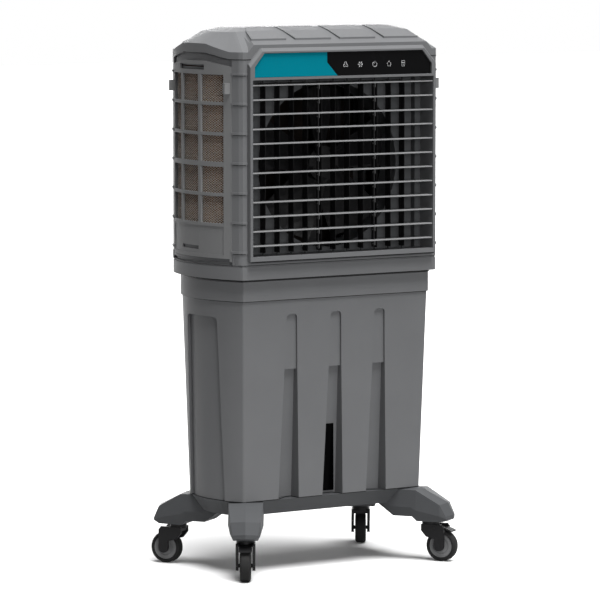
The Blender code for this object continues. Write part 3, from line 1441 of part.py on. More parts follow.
def make_vane_link():
    """The bar that ties the vanes together, pinned behind their pivots."""
    first = vane_x(0)
    span = vane_x(VANE_COUNT - 1) - first
    bar = box((-LINK_END, -LINK_WIDTH / 2, 0), (span + LINK_END, LINK_WIDTH / 2, VANE_LINK_HEIGHT))
    link = piece("vane_link", bar, BLACK)
    link.location = (first, VANE_PIVOT_Y + VANE_ARM, VANE_LINK_LOW)
    holes = bmesh.new()
    for i in range(VANE_COUNT):
        x = i * VANE_PITCH
        add_rod(holes, (x, 0, -CUT_PAST), (x, 0, CUT_PAST), LINK_PIN + PIN_GAP)
    cutter = helper("vane_link_holes", holes)
    cutter.location = link.location
    boolean(link, cutter)


def make_swing_motor():
    """Drives the first vane from above the outlet."""
    width, depth, height = SWING_MOTOR_SIZE
    base = OUTLET_TOP + SLEEVE_WALL + GAP
    x = vane_x(0)
    low = (x - width / 2, VANE_PIVOT_Y - depth / 2, base)
    high = (x + width / 2, VANE_PIVOT_Y + depth / 2, base + height)
    motor = piece("swing_motor", box(low, high), DARK_GREY)
    bevel = motor.modifiers.new("edges", "BEVEL")
    bevel.width = height / 8
    bevel.segments = 1


# Fan

def make_cowl():
    """A shallow flanged tray standing on the hood's floor, with a round mouth and a collar behind it."""
    floor = HOOD_BOTTOM + HOOD_FLOOR + GAP
    back = COWL_FRONT + COWL_PLATE
    front = COWL_RIM_FRONT
    cowl = piece("fan_cowl", box((-COWL_HALF, front, floor), (COWL_HALF, back, COWL_TOP)), BODY_GREY)
    flange = box((-COWL_FLANGE_HALF, front, floor), (COWL_FLANGE_HALF, front + COWL_FLANGE, COWL_TOP))
    join(cowl, helper("cowl_flange", flange))
    half = COWL_HALF - COWL_RIM_WALL
    low = (-half, front - CUT_PAST, floor + COWL_RIM_WALL)
    tray = box(low, (half, COWL_FRONT, COWL_TOP - COWL_RIM_WALL))
    boolean(cowl, helper("cowl_tray", tray))
    start = (0, COWL_FRONT + COWL_PLATE / 2, FAN_Z)
    collar = rod(start, (0, COWL_END, FAN_Z), COWL_RADIUS + COWL_WALL, LARGE_SIDES)
    join(cowl, helper("cowl_collar", collar))
    mouth = rod((0, front - CUT_PAST, FAN_Z), (0, COWL_END + CUT_PAST, FAN_Z), COWL_RADIUS, LARGE_SIDES)
    boolean(cowl, helper("cowl_mouth", mouth))


def blade_ring(share):
    """A blade's section at a share of the way from hub to tip, curved about the local axis Y."""
    radius = lerp(FAN_HUB_RADIUS - BLADE_SINK, FAN_RADIUS, share)
    half = lerp(BLADE_ROOT_CHORD, BLADE_TIP_CHORD, share) / 2
    pitch = lerp(BLADE_ROOT_PITCH, BLADE_TIP_PITCH, share)
    thick = BLADE_THICKNESS / 2
    front = [(along, -thick) for along in steps(-half, half, BLADE_STEPS)]
    section = front + [(along, thick) for along, _ in reversed(front)]
    ring = []
    for along, off in section:
        angle = (along * math.cos(pitch) - off * math.sin(pitch)) / radius
        y = along * math.sin(pitch) + off * math.cos(pitch)
        ring.append(Vector((radius * math.sin(angle), y, radius * math.cos(angle))))
    return ring


def make_fan():
    half = FAN_HUB_LENGTH / 2
    rotor = piece("fan_rotor", rod((0, -half, 0), (0, half, 0), FAN_HUB_RADIUS, SMALL_SIDES * 2), BLACK)
    rotor.location = (0, FAN_Y, FAN_Z)
    for i in range(BLADE_COUNT):
        turn = Matrix.Rotation(i * 2 * math.pi / BLADE_COUNT, 4, "Y")
        shares = steps(0, 1, BLADE_STATIONS - 1)
        rings = [[turn @ point for point in blade_ring(share)] for share in shares]
        blade = helper(f"fan_blade_{i + 1}", loft(rings))
        blade.location = rotor.location
        join(rotor, blade)
    bore = helper("fan_bore", rod((0, -SHAFT_AHEAD - GAP, 0), (0, CUT_PAST, 0), SHAFT_RADIUS + PIN_GAP))
    bore.location = rotor.location
    boolean(rotor, bore)


def make_motor():
    """Motor on a cross-shaped bracket, with the shaft that carries the fan."""
    end = MOTOR_FRONT + SHAFT_IN_MOTOR
    shaft = piece("motor_shaft", rod((0, SHAFT_FRONT - FAN_Y, 0), (0, end - FAN_Y, 0), SHAFT_RADIUS), STEEL)
    shaft.location = (0, FAN_Y, FAN_Z)
    bore = SHAFT_RADIUS + PIN_GAP
    socket = SHAFT_IN_MOTOR + GAP
    profile = [
        (0, MOTOR_LENGTH),
        (MOTOR_RADIUS * 0.55, MOTOR_LENGTH),
        (MOTOR_RADIUS, MOTOR_LENGTH - MOTOR_END),
        (MOTOR_RADIUS, 0),
        (bore, 0),
        (bore, socket),
        (0, socket),
    ]
    motor = piece("fan_motor", turned_mesh("fan_motor", profile, SMALL_SIDES * 2, DARK_GREY), DARK_GREY)
    motor.location = (0, MOTOR_FRONT, FAN_Z)
    motor.rotation_euler = (-math.pi / 2, 0, 0)
    reach = COWL_RADIUS + COWL_WALL
    back = BRACKET_FRONT + BRACKET_THICKNESS
    bracket = piece(
        "motor_bracket",
        box((-reach, BRACKET_FRONT, FAN_Z - BRACKET_ARM_HALF), (reach, back, FAN_Z + BRACKET_ARM_HALF)),
        BLACK,
    )
    upright = box((-BRACKET_ARM_HALF, BRACKET_FRONT, FAN_Z - reach), (BRACKET_ARM_HALF, back, FAN_Z + reach))
    join(bracket, helper("bracket_upright", upright))
    hub = rod((0, BRACKET_FRONT, FAN_Z), (0, back, FAN_Z), BRACKET_HUB, SMALL_SIDES * 2)
    join(bracket, helper("bracket_hub", hub))
    bore = SHAFT_RADIUS + BRACKET_BORE_GAP
    hole = rod((0, BRACKET_FRONT - CUT_PAST, FAN_Z), (0, back + CUT_PAST, FAN_Z), bore)
    boolean(bracket, helper("bracket_bore", hole))


# Water circuit

def make_pump():
    """Submersible pump on the tank's floor, with its outlet upward."""
    profile = [
        (0, PUMP_HEIGHT + PUMP_OUTLET_HEIGHT),
        (PUMP_OUTLET, PUMP_HEIGHT + PUMP_OUTLET_HEIGHT),
        (PUMP_OUTLET, PUMP_HEIGHT),
        (PUMP_RADIUS * 0.8, PUMP_HEIGHT),
        (PUMP_RADIUS, PUMP_HEIGHT * 0.8),
        (PUMP_RADIUS, 0),
        (0, 0),
    ]
    pump = piece("pump", turned_mesh("pump", profile, SMALL_SIDES, DARK_GREY), DARK_GREY)
    pump.location = (PUMP_X, PUMP_Y, PUMP_BASE)


def trough_inner_back():
    return HOOD_BACK - HOOD_WALL - GAP - TROUGH_WIDTH


def make_hose():
    """From the pump's outlet up behind the fan and into the trough."""
    start = PUMP_BASE + PUMP_HEIGHT + PUMP_OUTLET_HEIGHT + GAP
    end_z = TROUGH_LOW + TROUGH_HEIGHT / 2
    end_y = trough_inner_back() - GAP
    points = [(PUMP_X, PUMP_Y, start)]
    for share in steps(0, 1, HOSE_STEPS):
        blend = share * share * (3 - 2 * share)
        x = lerp(PUMP_X, HOSE_X, blend)
        y = lerp(PUMP_Y, HOSE_Y, blend)
        points.append((x, y, start + HOSE_ELBOW + share * HOSE_BEND))
    for angle in steps(0, math.pi / 2, HOSE_STEPS):
        y = HOSE_Y + HOSE_ELBOW * (1 - math.cos(angle))
        points.append((HOSE_X, y, end_z - HOSE_ELBOW + HOSE_ELBOW * math.sin(angle)))
    points.append((HOSE_X, end_y, end_z))
    curve = bpy.data.curves.new("riser_hose", "CURVE")
    curve.dimensions = "3D"
    curve.bevel_depth = HOSE_RADIUS
    curve.bevel_resolution = 2
    curve.use_fill_caps = True
    spline = curve.splines.new("POLY")
    spline.points.add(len(points) - 1)
    for slot, point in zip(spline.points, points):
        slot.co = (*point, 1)
    hose = bpy.data.objects.new("riser_hose", curve)
    PARTS.objects.link(hose)
    curve.materials.append(material("riser_hose", HOSE_BLUE))


def trough_band(name, outer, inner, low, high, front):
    """A band that follows the left, back and right walls of the hood."""
    band = helper(name, loft([hood_ring(z, outer) for z in (low, high)]))
    hollow = [hood_ring(z, inner) for z in (low - CUT_PAST, high + CUT_PAST)]
    boolean(band, helper(name + "_inside", loft(hollow)))
    reach = HOOD_PLAN[0]
    before = box((-reach, -reach, low - CUT_PAST), (reach, front, high + CUT_PAST))
    boolean(band, helper(name + "_front", before))
    return band


def make_trough():
    """An open channel along the tops of the three pads."""
    outer = HOOD_WALL + GAP
    inner = outer + TROUGH_WIDTH
    high = TROUGH_LOW + TROUGH_HEIGHT
    wall = TROUGH_WALL
    solid = trough_band("trough", outer, inner, TROUGH_LOW, high, TROUGH_FRONT)
    channel = trough_band(
        "channel", outer + wall, inner - wall, TROUGH_LOW + wall, high + CUT_PAST, TROUGH_FRONT + wall
    )
    boolean(solid, channel)
    piece("water_distributor", baked(solid, DARK_GREY), DARK_GREY)


make_tank()
make_level_window()
make_drain_plug()
make_base()
make_casters()
make_hood()
make_side_panel("left_pad_grille", -1)
make_side_panel("right_pad_grille", 1)
make_side_pad("left_cooling_pad", -1)
make_side_pad("right_cooling_pad", 1)
make_rear_panel()
make_lid()
make_bezel()
make_fascia()
make_control_board()
make_louvres()
make_louvre_links()
make_vanes()
make_vane_link()
make_swing_motor()
make_cowl()
make_fan()
make_motor()
make_pump()
make_hose()
make_trough()
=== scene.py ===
"""Looks of the tower evaporative cooler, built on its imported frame.

Metres, +Z up, the air outlet faces -Y. Every piece rides on the body of the node it belongs to.
"""

import json
import math

import bmesh
import bpy
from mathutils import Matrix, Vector
from mathutils.bvhtree import BVHTree

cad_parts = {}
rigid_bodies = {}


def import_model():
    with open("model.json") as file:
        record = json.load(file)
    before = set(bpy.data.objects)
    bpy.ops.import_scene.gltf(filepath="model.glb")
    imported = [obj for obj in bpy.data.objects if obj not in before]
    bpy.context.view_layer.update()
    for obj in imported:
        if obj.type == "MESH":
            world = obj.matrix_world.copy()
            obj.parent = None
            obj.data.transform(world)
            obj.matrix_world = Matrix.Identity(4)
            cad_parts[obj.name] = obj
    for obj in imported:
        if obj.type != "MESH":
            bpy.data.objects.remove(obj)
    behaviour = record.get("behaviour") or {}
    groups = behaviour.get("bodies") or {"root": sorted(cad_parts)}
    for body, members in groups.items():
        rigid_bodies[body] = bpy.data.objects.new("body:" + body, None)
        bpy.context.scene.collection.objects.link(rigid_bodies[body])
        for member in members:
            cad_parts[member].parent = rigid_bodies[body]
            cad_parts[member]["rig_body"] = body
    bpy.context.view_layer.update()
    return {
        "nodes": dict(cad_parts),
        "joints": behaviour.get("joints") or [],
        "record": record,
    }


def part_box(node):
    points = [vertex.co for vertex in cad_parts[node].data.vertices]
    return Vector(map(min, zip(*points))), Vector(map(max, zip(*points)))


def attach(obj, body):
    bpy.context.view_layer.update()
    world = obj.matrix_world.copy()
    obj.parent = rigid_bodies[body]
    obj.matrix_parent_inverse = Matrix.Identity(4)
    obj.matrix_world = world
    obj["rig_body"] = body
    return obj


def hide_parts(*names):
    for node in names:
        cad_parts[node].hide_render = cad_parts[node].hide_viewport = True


# Camera and light
SENSOR_WIDTH = 36.0
VIEW_DEPTH = 100.0
CAMERA_AT = (-5.78041, -8.71332, 1.66762)
CAMERA_TARGET = (-0.01472, 0.0, 0.67775)
CAMERA_LENS = 245.865
TOP_FROM = (-0.02, -0.30, 1.0)
TOP_STRENGTH = 6.1
TOP_SOFTNESS = math.radians(40)
FILL_FROM = (-0.19, -0.98, 0.0)
FILL_STRENGTH = 2.8
FILL_SOFTNESS = math.radians(36)
BACK_FROM = (0.50, 0.86, 0.0)
BACK_STRENGTH = 2.3
BACK_SOFTNESS = math.radians(40)
AMBIENT = 0.09
FLOOR_HALF = 30.0
FLOOR_SEEN = 0.93
FLOOR_NEAR = 0.32
FLOOR_FAR = 0.06
NEAR_RADIUS = 0.5
FAR_RADIUS = 1.8

# Louvre blades
BLADE_HALF = 0.0035
# Share of the louvre grey left on the ears and pins: painted shade for the dark inside of the outlet
EAR_PAINTED_SHADE = 0.30

# Edges and welds
WELD = 0.00001
BEVEL_STEPS = 2
FLAT_FACE_WEIGHT = 80
FLAT_ANGLE = math.radians(0.6)
BEVEL_ANGLE = math.radians(40)
SMOOTH_ANGLE = math.radians(38)
SHELL_FACET = math.radians(19.5)
LID_FACET = math.radians(16)
SHELL_EDGE = 0.0011
GRILLE_EDGE = 0.0012
BLADE_EDGE = 0.0007
SMALL_EDGE = 0.0006

# Pads, nets and panel feet
FLUTE_PITCH = 0.0075
FLUTE_DEPTH = 0.0022
PAD_CREST = 0.0016
PAD_BACK = 0.034
LINE_STEP = 0.006
NET_PITCH = 0.0060
NET_RUN = 0.0105
NET_WIRE = 0.00048
NET_BEHIND = 0.0007
NET_MARGIN = 0.002
RAIL_FRONT = 0.0002
RAIL_BACK = 0.0016
RAIL_HEAD = 0.017
RAIL_FOOT = 0.045
# The strip of painted shade at each side panel's foot
SHADE_HEIGHT = 0.0070
SHADE_FRONT = -0.0004
SHADE_BACK = 0.0030
SHADE_INSET = 0.0060
SHADE_STEPS = 48

# Posts: ridges at their feet, and painted shadow lines under their ribs
RIDGE_RADIUS = 0.0014
RIDGE_START = 0.1400
RIDGE_PITCH = 0.0040
RIDGE_COUNT = 4
RIDGE_LOW = 0.7895
RIDGE_HIGH = 0.8110
RIB_SHADOW_RADIUS = 0.0011
RIB_SHADOW_FIRST = 0.8186
RIB_SHADOW_PITCH = 0.0740
RIB_SHADOW_COUNT = 7
RIB_SHADOW_FROM = (0.22, 0.09)
RIB_SHADOW_START = 0.1370
RIB_SHADOW_END = 0.2830
RIB_SHADOW_STEPS = 24

# Painted shadow lines round the body, where its parts meet
SHADOW_LINE_STEPS = 720
SKIRT_SHADOW_RADIUS = 0.0032
SKIRT_SHADOW_DROP = 0.0032
SHELF_DROP = 0.0090
SHELF_RADIUS = 0.0007
BEZEL_FOOT_RADIUS = 0.0019
BEZEL_FOOT_INSET = 0.0040
BEZEL_FOOT_BACK = 0.0018
BEZEL_FOOT_DROP = 0.0016
SHADOW_LINE_RADIUS = 0.0011
COLLAR_FOOT = 0.6970
TANK_FOOT = 0.1896
LID_SHADOW_RISE = 0.0005
LID_SHADOW_TRIES = 40

# Wheels
TYRE_SHOULDER = 0.0075
HUB_RADIUS = 0.0310
HUB_DISH = 0.0022
HUB_CAP = 0.0075
HUB_EDGE = 0.0012
HUB_CREASE = 0.0006
HUB_FACE = 0.86
HUB_RING = (0.62, 0.68)
HUB_GAP = (0.0008, 0.0002)
TYRE_LIP = 0.0035
TYRE_SEAT = (0.70, 0.93)
TYRE_ROUND_STEPS = 6
WHEEL_STEPS = 64
BORE_RADIUS = 0.0053

# Control panel print
# Radius of the painted shadow line along the panel's upper edge
HEAD_SHADE = 0.0009
ICON_SIZE = 0.0150
ICON_STROKE = 0.00042
ICON_LIFT = 0.00015
ICON_X = (0.006, 0.051, 0.095, 0.139, 0.1825)
ICON_Z = 1.285
TEAL_CORNER_X = -0.050
TEAL_CORNER_Z = 1.292
TEAL_SLANT = 0.941

# Signs, in shares of their size
FAN_BLADES = 3
FAN_START = 0.25
FAN_REACH = 0.27
FAN_BLADE = 0.21
FAN_SWEEP = (-0.42, 0.36)
SNOW_ARMS = 6
SNOW_STOPS = (0.12, 0.34, 0.48)
SNOW_TWIG = 0.14
SNOW_LEAN = 0.9
POWER_RADIUS = 0.42
POWER_DROP = 0.03
POWER_SWEEP = (0.33, 1.17)
POWER_BAR = (0.08, 0.50)
VENT_WALL = 0.30
VENT_FOOT = -0.40
VENT_EAVES = (0.46, 0.02)
VENT_RIDGE = 0.46
VESSEL_HALF = (0.30, 0.46)
VESSEL_LEVEL = 0.12
VESSEL_MARK = (0.12, -0.16)

# Finishes: texture scales per metre, relief in metres
DRIFT_SCALE = 7.0
DRIFT_DETAIL = 4.0
DRIFT_ROUGH = 0.6
DRIFT_GLOSS = 0.16
GRAIN_DETAIL = 2.0
GRAIN_RELIEF = 0.0003
FIBRE_STRETCH = (40.0, 40.0, 600.0)
FIBRE_DETAIL = 5.0
FIBRE_ROUGH = 0.65
FIBRE_BUMP = 0.5
FIBRE_RELIEF = 0.0004
PATCH_SCALE = 28.0
PATCH_DETAIL = 3.0
PAPER_CONTRAST = 3.2
PAPER_ROUGHNESS = 0.92
PAPER_GLOSS = 0.15
# Low tone of the painted shade on the pads' inner side, as a share of its high tone
INNER_SHADE_LOW = 0.6
SCRATCH_STRETCH = (30.0, 900.0, 30.0)
SCRATCH_DETAIL = 3.0
SCRATCH_TONES = (0.8, 1.15)
SCRATCH_SPREAD = 0.2
PRINT_SCALE = 9.0
PRINT_DETAIL = 3.0
PRINT_SPREAD = 0.08
PRINT_ROUGHNESS = 0.22
PRINT_GLOSS = 0.025
TEAL_TONES = (0.94, 1.06)
BLACK_TONES = (0.8, 1.2)

# Colours, linear
GREY = (0.122, 0.124, 0.128)
# Darker than the body grey: painted shade for the shadow that tank and hood cast on the legs and tray
BASE_SHADED_GREY = (0.056, 0.058, 0.061)
GRILLE_GREY = (0.166, 0.168, 0.170)
# The body grey darkened: painted shade for the dark inside of the outlet, where the cowl sits
COWL_SHADED_GREY = (0.062, 0.064, 0.067)
# Lighter than the body grey: a painted highlight for the louvres' lit front edges
LOUVRE_PAINTED_HIGHLIGHT_GREY = (0.222, 0.224, 0.228)
BLACK = (0.0090, 0.0090, 0.0095)
DARK = (0.040, 0.041, 0.043)
TYRE = (0.017, 0.017, 0.017)
HUB = (0.140, 0.141, 0.143)
PAPER = (0.170, 0.088, 0.046)
PAPER_DEEP = (0.050, 0.022, 0.010)
# Painted shade for the pads' inner side, where no light reaches
PAPER_INNER_SHADE = (0.016, 0.012, 0.010)
NET_GREY = (0.340, 0.325, 0.300)
TEAL = (0.0008, 0.166, 0.224)
PANEL_BLACK = (0.0032, 0.0032, 0.0035)
WINDOW_BLACK = (0.0005, 0.0005, 0.0006)
PRINT_WHITE = (0.750, 0.760, 0.770)
STEEL = (0.420, 0.430, 0.440)
BOARD = (0.020, 0.120, 0.050)
HOSE = (0.012, 0.012, 0.013)

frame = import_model()
NODES = frame["nodes"]
RECORD = frame["record"]
SLOTS = {row["node"]: row["material_slot"] for row in RECORD["subparts"]}


# Materials

def node_kit(name):
    """A new material, its node tree and its shader."""
    made = bpy.data.materials.new(name)
    made.use_nodes = True
    tree = made.node_tree
    return made, tree, tree.nodes["Principled BSDF"]


def add(tree, kind, **values):
    """A node with its attributes and unlinked inputs set."""
    made = tree.nodes.new(kind)
    for key, value in values.items():
        if hasattr(made, key):
            setattr(made, key, value)
        else:
            made.inputs[key.replace("_", " ")].default_value = value
    return made


def wire(tree, source, target):
    tree.links.new(source, target)


def math_node(tree, operation, first, second=None):
    made = tree.nodes.new("ShaderNodeMath")
    made.operation = operation
    for socket, value in zip(made.inputs, (first, second)):
        if value is None:
            continue
        if isinstance(value, (int, float)):
            socket.default_value = value
        else:
            wire(tree, value, socket)
    return made.outputs[0]


def mix_colours(tree, share, low, high):
    """A colour between two; each may be a constant or a socket."""
    made = tree.nodes.new("ShaderNodeMix")
    made.data_type = "RGBA"
    colour_inputs = [s for s in made.inputs if s.type == "RGBA"]
    for socket, value in zip(colour_inputs, (low, high)):
        if isinstance(value, tuple):
            socket.default_value = (*value, 1)
        else:
            wire(tree, value, socket)
    wire(tree, share, made.inputs["Factor"])
    return next(s for s in made.outputs if s.type == "RGBA")


def scaled(colour, share):
    return tuple(channel * share for channel in colour)


def moulded(name, colour, roughness, grain=1400.0, bump=0.10, spread=0.10, gloss=0.14):
    """Moulded plastic: fine grain in the bump, slow drift in colour and gloss."""
    made, tree, shader = node_kit(name)
    place = add(tree, "ShaderNodeTexCoord").outputs["Object"]
    drift = add(
        tree, "ShaderNodeTexNoise", Scale=DRIFT_SCALE, Detail=DRIFT_DETAIL, Roughness=DRIFT_ROUGH
    )
    fine = add(tree, "ShaderNodeTexNoise", Scale=grain, Detail=GRAIN_DETAIL)
    wire(tree, place, drift.inputs["Vector"])
    wire(tree, place, fine.inputs["Vector"])
    tint = mix_colours(tree, drift.outputs["Fac"], scaled(colour, 1 - spread), scaled(colour, 1 + spread))
    wire(tree, tint, shader.inputs["Base Color"])
    rough = math_node(tree, "MULTIPLY_ADD", drift.outputs["Fac"], DRIFT_GLOSS)
    rough.node.inputs[2].default_value = roughness - DRIFT_GLOSS / 2
    wire(tree, rough, shader.inputs["Roughness"])
    relief = add(tree, "ShaderNodeBump", Strength=bump, Distance=GRAIN_RELIEF)
    wire(tree, fine.outputs["Fac"], relief.inputs["Height"])
    wire(tree, relief.outputs["Normal"], shader.inputs["Normal"])
    shader.inputs["Specular IOR Level"].default_value = gloss
    return made


def louvre_plastic(name):
    """Painted highlight along the blades, lighter than the body grey for their lit front edges, and painted
    shade on the ears and pins that stand off them.
    """
    made = moulded(name, LOUVRE_PAINTED_HIGHLIGHT_GREY, roughness=0.45, bump=0.05)
    tree = made.node_tree
    shader = tree.nodes["Principled BSDF"]
    pale = shader.inputs["Base Color"].links[0].from_socket
    heights = sorted(j["pos_m"][2] for j in frame["joints"] if j["name"].startswith("louvre_"))
    pitch = heights[1] - heights[0]
    split = add(tree, "ShaderNodeSeparateXYZ")
    wire(tree, add(tree, "ShaderNodeTexCoord").outputs["Object"], split.inputs["Vector"])
    turns = math_node(tree, "MULTIPLY_ADD", split.outputs["Z"], 1 / pitch)
    turns.node.inputs[2].default_value = 0.5 - heights[0] / pitch
    off = math_node(tree, "SUBTRACT", math_node(tree, "FRACT", turns), 0.5)
    shaded_ear = math_node(tree, "GREATER_THAN", math_node(tree, "ABSOLUTE", off), BLADE_HALF / pitch)
    tint = mix_colours(tree, shaded_ear, pale, scaled(LOUVRE_PAINTED_HIGHLIGHT_GREY, EAR_PAINTED_SHADE))
    wire(tree, tint, shader.inputs["Base Color"])
    return made


def rubber(name, colour):
    return moulded(name, colour, roughness=0.72, grain=900.0, bump=0.25, spread=0.25, gloss=0.08)


def paper(name, low, high):
    """Fluted kraft paper: fibres along the flutes, between two tones in patches."""
    made, tree, shader = node_kit(name)
    place = add(tree, "ShaderNodeTexCoord").outputs["Object"]
    stretch = add(tree, "ShaderNodeMapping", Scale=FIBRE_STRETCH)
    fibres = add(tree, "ShaderNodeTexNoise", Scale=1.0, Detail=FIBRE_DETAIL, Roughness=FIBRE_ROUGH)
    patches = add(tree, "ShaderNodeTexNoise", Scale=PATCH_SCALE, Detail=PATCH_DETAIL)
    wire(tree, place, stretch.inputs["Vector"])
    wire(tree, stretch.outputs["Vector"], fibres.inputs["Vector"])
    wire(tree, place, patches.inputs["Vector"])
    share = math_node(tree, "MULTIPLY", fibres.outputs["Fac"], patches.outputs["Fac"])
    share = math_node(tree, "MULTIPLY", share, PAPER_CONTRAST)
    tint = mix_colours(tree, share, low, high)
    wire(tree, tint, shader.inputs["Base Color"])
    shader.inputs["Roughness"].default_value = PAPER_ROUGHNESS
    shader.inputs["Specular IOR Level"].default_value = PAPER_GLOSS
    relief = add(tree, "ShaderNodeBump", Strength=FIBRE_BUMP, Distance=FIBRE_RELIEF)
    wire(tree, fibres.outputs["Fac"], relief.inputs["Height"])
    wire(tree, relief.outputs["Normal"], shader.inputs["Normal"])
    return made


def brushed(name, colour, roughness):
    """Turned steel, with rings of fine scratches."""
    made, tree, shader = node_kit(name)
    place = add(tree, "ShaderNodeTexCoord").outputs["Object"]
    stretch = add(tree, "ShaderNodeMapping", Scale=SCRATCH_STRETCH)
    lines = add(tree, "ShaderNodeTexNoise", Scale=1.0, Detail=SCRATCH_DETAIL)
    wire(tree, place, stretch.inputs["Vector"])
    wire(tree, stretch.outputs["Vector"], lines.inputs["Vector"])
    tones = [scaled(colour, tone) for tone in SCRATCH_TONES]
    wire(tree, mix_colours(tree, lines.outputs["Fac"], *tones), shader.inputs["Base Color"])
    rough = math_node(tree, "MULTIPLY_ADD", lines.outputs["Fac"], SCRATCH_SPREAD)
    rough.node.inputs[2].default_value = roughness - SCRATCH_SPREAD / 2
    wire(tree, rough, shader.inputs["Roughness"])
    shader.inputs["Metallic"].default_value = 1.0
    return made


def printed_panel(name):
    """A glossy black panel with a teal end behind a slanted edge."""
    made, tree, shader = node_kit(name)
    place = add(tree, "ShaderNodeTexCoord").outputs["Object"]
    split = add(tree, "ShaderNodeSeparateXYZ")
    wire(tree, place, split.inputs["Vector"])
    below = math_node(tree, "SUBTRACT", TEAL_CORNER_Z, split.outputs["Z"])
    below = math_node(tree, "MAXIMUM", below, 0.0)
    edge = math_node(tree, "MULTIPLY_ADD", below, TEAL_SLANT)
    edge.node.inputs[2].default_value = TEAL_CORNER_X
    teal = math_node(tree, "LESS_THAN", split.outputs["X"], edge)
    drift = add(tree, "ShaderNodeTexNoise", Scale=PRINT_SCALE, Detail=PRINT_DETAIL)
    wire(tree, place, drift.inputs["Vector"])
    teal_tones = [scaled(TEAL, tone) for tone in TEAL_TONES]
    print_tint = mix_colours(tree, drift.outputs["Fac"], *teal_tones)
    dark_tones = [scaled(PANEL_BLACK, tone) for tone in BLACK_TONES]
    dark_tint = mix_colours(tree, drift.outputs["Fac"], *dark_tones)
    wire(tree, mix_colours(tree, teal, dark_tint, print_tint), shader.inputs["Base Color"])
    rough = math_node(tree, "MULTIPLY_ADD", drift.outputs["Fac"], PRINT_SPREAD)
    rough.node.inputs[2].default_value = PRINT_ROUGHNESS
    wire(tree, rough, shader.inputs["Roughness"])
    shader.inputs["Specular IOR Level"].default_value = PRINT_GLOSS
    return made


MATERIALS = {
    "body_grey": moulded("body_grey", GREY, roughness=0.52),
    "louvre_grey": louvre_plastic("louvre_grey"),
    "level_window": moulded(
        "level_window", WINDOW_BLACK, roughness=0.14, grain=200.0, bump=0.01, gloss=0.01
    ),
    "fascia": printed_panel("fascia"),
    "black_plastic": moulded("black_plastic", BLACK, roughness=0.42, gloss=0.10),
    "tyre": rubber("tyre", TYRE),
    "pad": paper("pad", PAPER_DEEP, PAPER),
    "steel": brushed("steel", STEEL, roughness=0.35),
    "painted_steel": moulded("painted_steel", BLACK, roughness=0.5, gloss=0.15),
    "dark_plastic": moulded("dark_plastic", DARK, roughness=0.5),
    "board": moulded("board", BOARD, roughness=0.4),
    "hose": rubber("hose", HOSE),
}
BASE_SHADED_PLASTIC = moulded("base_painted_shade", BASE_SHADED_GREY, roughness=0.55)
GRILLE_PLASTIC = moulded("grille_grey", GRILLE_GREY, roughness=0.55)
COWL_SHADED_PLASTIC = moulded("cowl_painted_shade", COWL_SHADED_GREY, roughness=0.55)
# Paper with painted shade, for the pads' unlit inner side
INNER_SHADE_PAPER = paper("paper_painted_shade", scaled(PAPER_INNER_SHADE, INNER_SHADE_LOW), PAPER_INNER_SHADE)
HUB_PLASTIC = moulded("hub_plastic", HUB, roughness=0.45)
NET_PLASTIC = moulded("net_plastic", NET_GREY, roughness=0.5)
PRINT = moulded("print_white", PRINT_WHITE, roughness=0.5, bump=0.02, spread=0.03)


# Pieces

def link(obj):
    bpy.context.scene.collection.objects.link(obj)
    return obj


def body_of(node):
    return NODES[node]["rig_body"]


def dress(obj, node, finish=None):
    """Puts a piece on the body and in the slot of the node it stands for or stands on."""
    obj.data.materials.clear()
    obj.data.materials.append(finish or MATERIALS[SLOTS[node]])
    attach(obj, body_of(node))
    return obj


def refined(node, edge, facet=SMOOTH_ANGLE, finish=None):
    """The node's shape with its edges rounded, shown in its place."""
    bm = bmesh.new()
    bm.from_mesh(NODES[node].data)
    bmesh.ops.remove_doubles(bm, verts=bm.verts, dist=WELD)
    bmesh.ops.join_triangles(
        bm, faces=bm.faces, angle_face_threshold=FLAT_ANGLE, angle_shape_threshold=math.pi
    )
    mesh = bpy.data.meshes.new(node + "_shell")
    bm.to_mesh(mesh)
    bm.free()
    mesh.shade_smooth()
    mesh.set_sharp_from_angle(angle=facet)
    obj = link(bpy.data.objects.new(node + "_shell", mesh))
    bevel = obj.modifiers.new("edges", "BEVEL")
    bevel.width = edge
    bevel.segments = BEVEL_STEPS
    bevel.limit_method = "ANGLE"
    bevel.angle_limit = BEVEL_ANGLE
    bevel.use_clamp_overlap = True
    normals = obj.modifiers.new("normals", "WEIGHTED_NORMAL")
    normals.keep_sharp = True
    normals.weight = FLAT_FACE_WEIGHT
    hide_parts(node)
    return dress(obj, node, finish)


def mesh_piece(name, bm, smooth=True):
    bmesh.ops.recalc_face_normals(bm, faces=bm.faces)
    mesh = bpy.data.meshes.new(name)
    bm.to_mesh(mesh)
    bm.free()
    if smooth:
        mesh.shade_smooth()
        mesh.set_sharp_from_angle(angle=SMOOTH_ANGLE)
    return link(bpy.data.objects.new(name, mesh))


def stroke_piece(name, strokes, radius):
    """Thin rods along lists of points; a closed stroke repeats its first point."""
    curve = bpy.data.curves.new(name, "CURVE")
    curve.dimensions = "3D"
    curve.bevel_depth = radius
    curve.bevel_resolution = 0
    curve.use_fill_caps = True
    for points in strokes:
        closed = (Vector(points[0]) - Vector(points[-1])).length < WELD
        kept = points[:-1] if closed else points
        spline = curve.splines.new("POLY")
        spline.points.add(len(kept) - 1)
        spline.use_cyclic_u = closed
        for slot, point in zip(spline.points, kept):
            slot.co = (*point, 1)
    return link(bpy.data.objects.new(name, curve))


# Pads, nets and panel feet

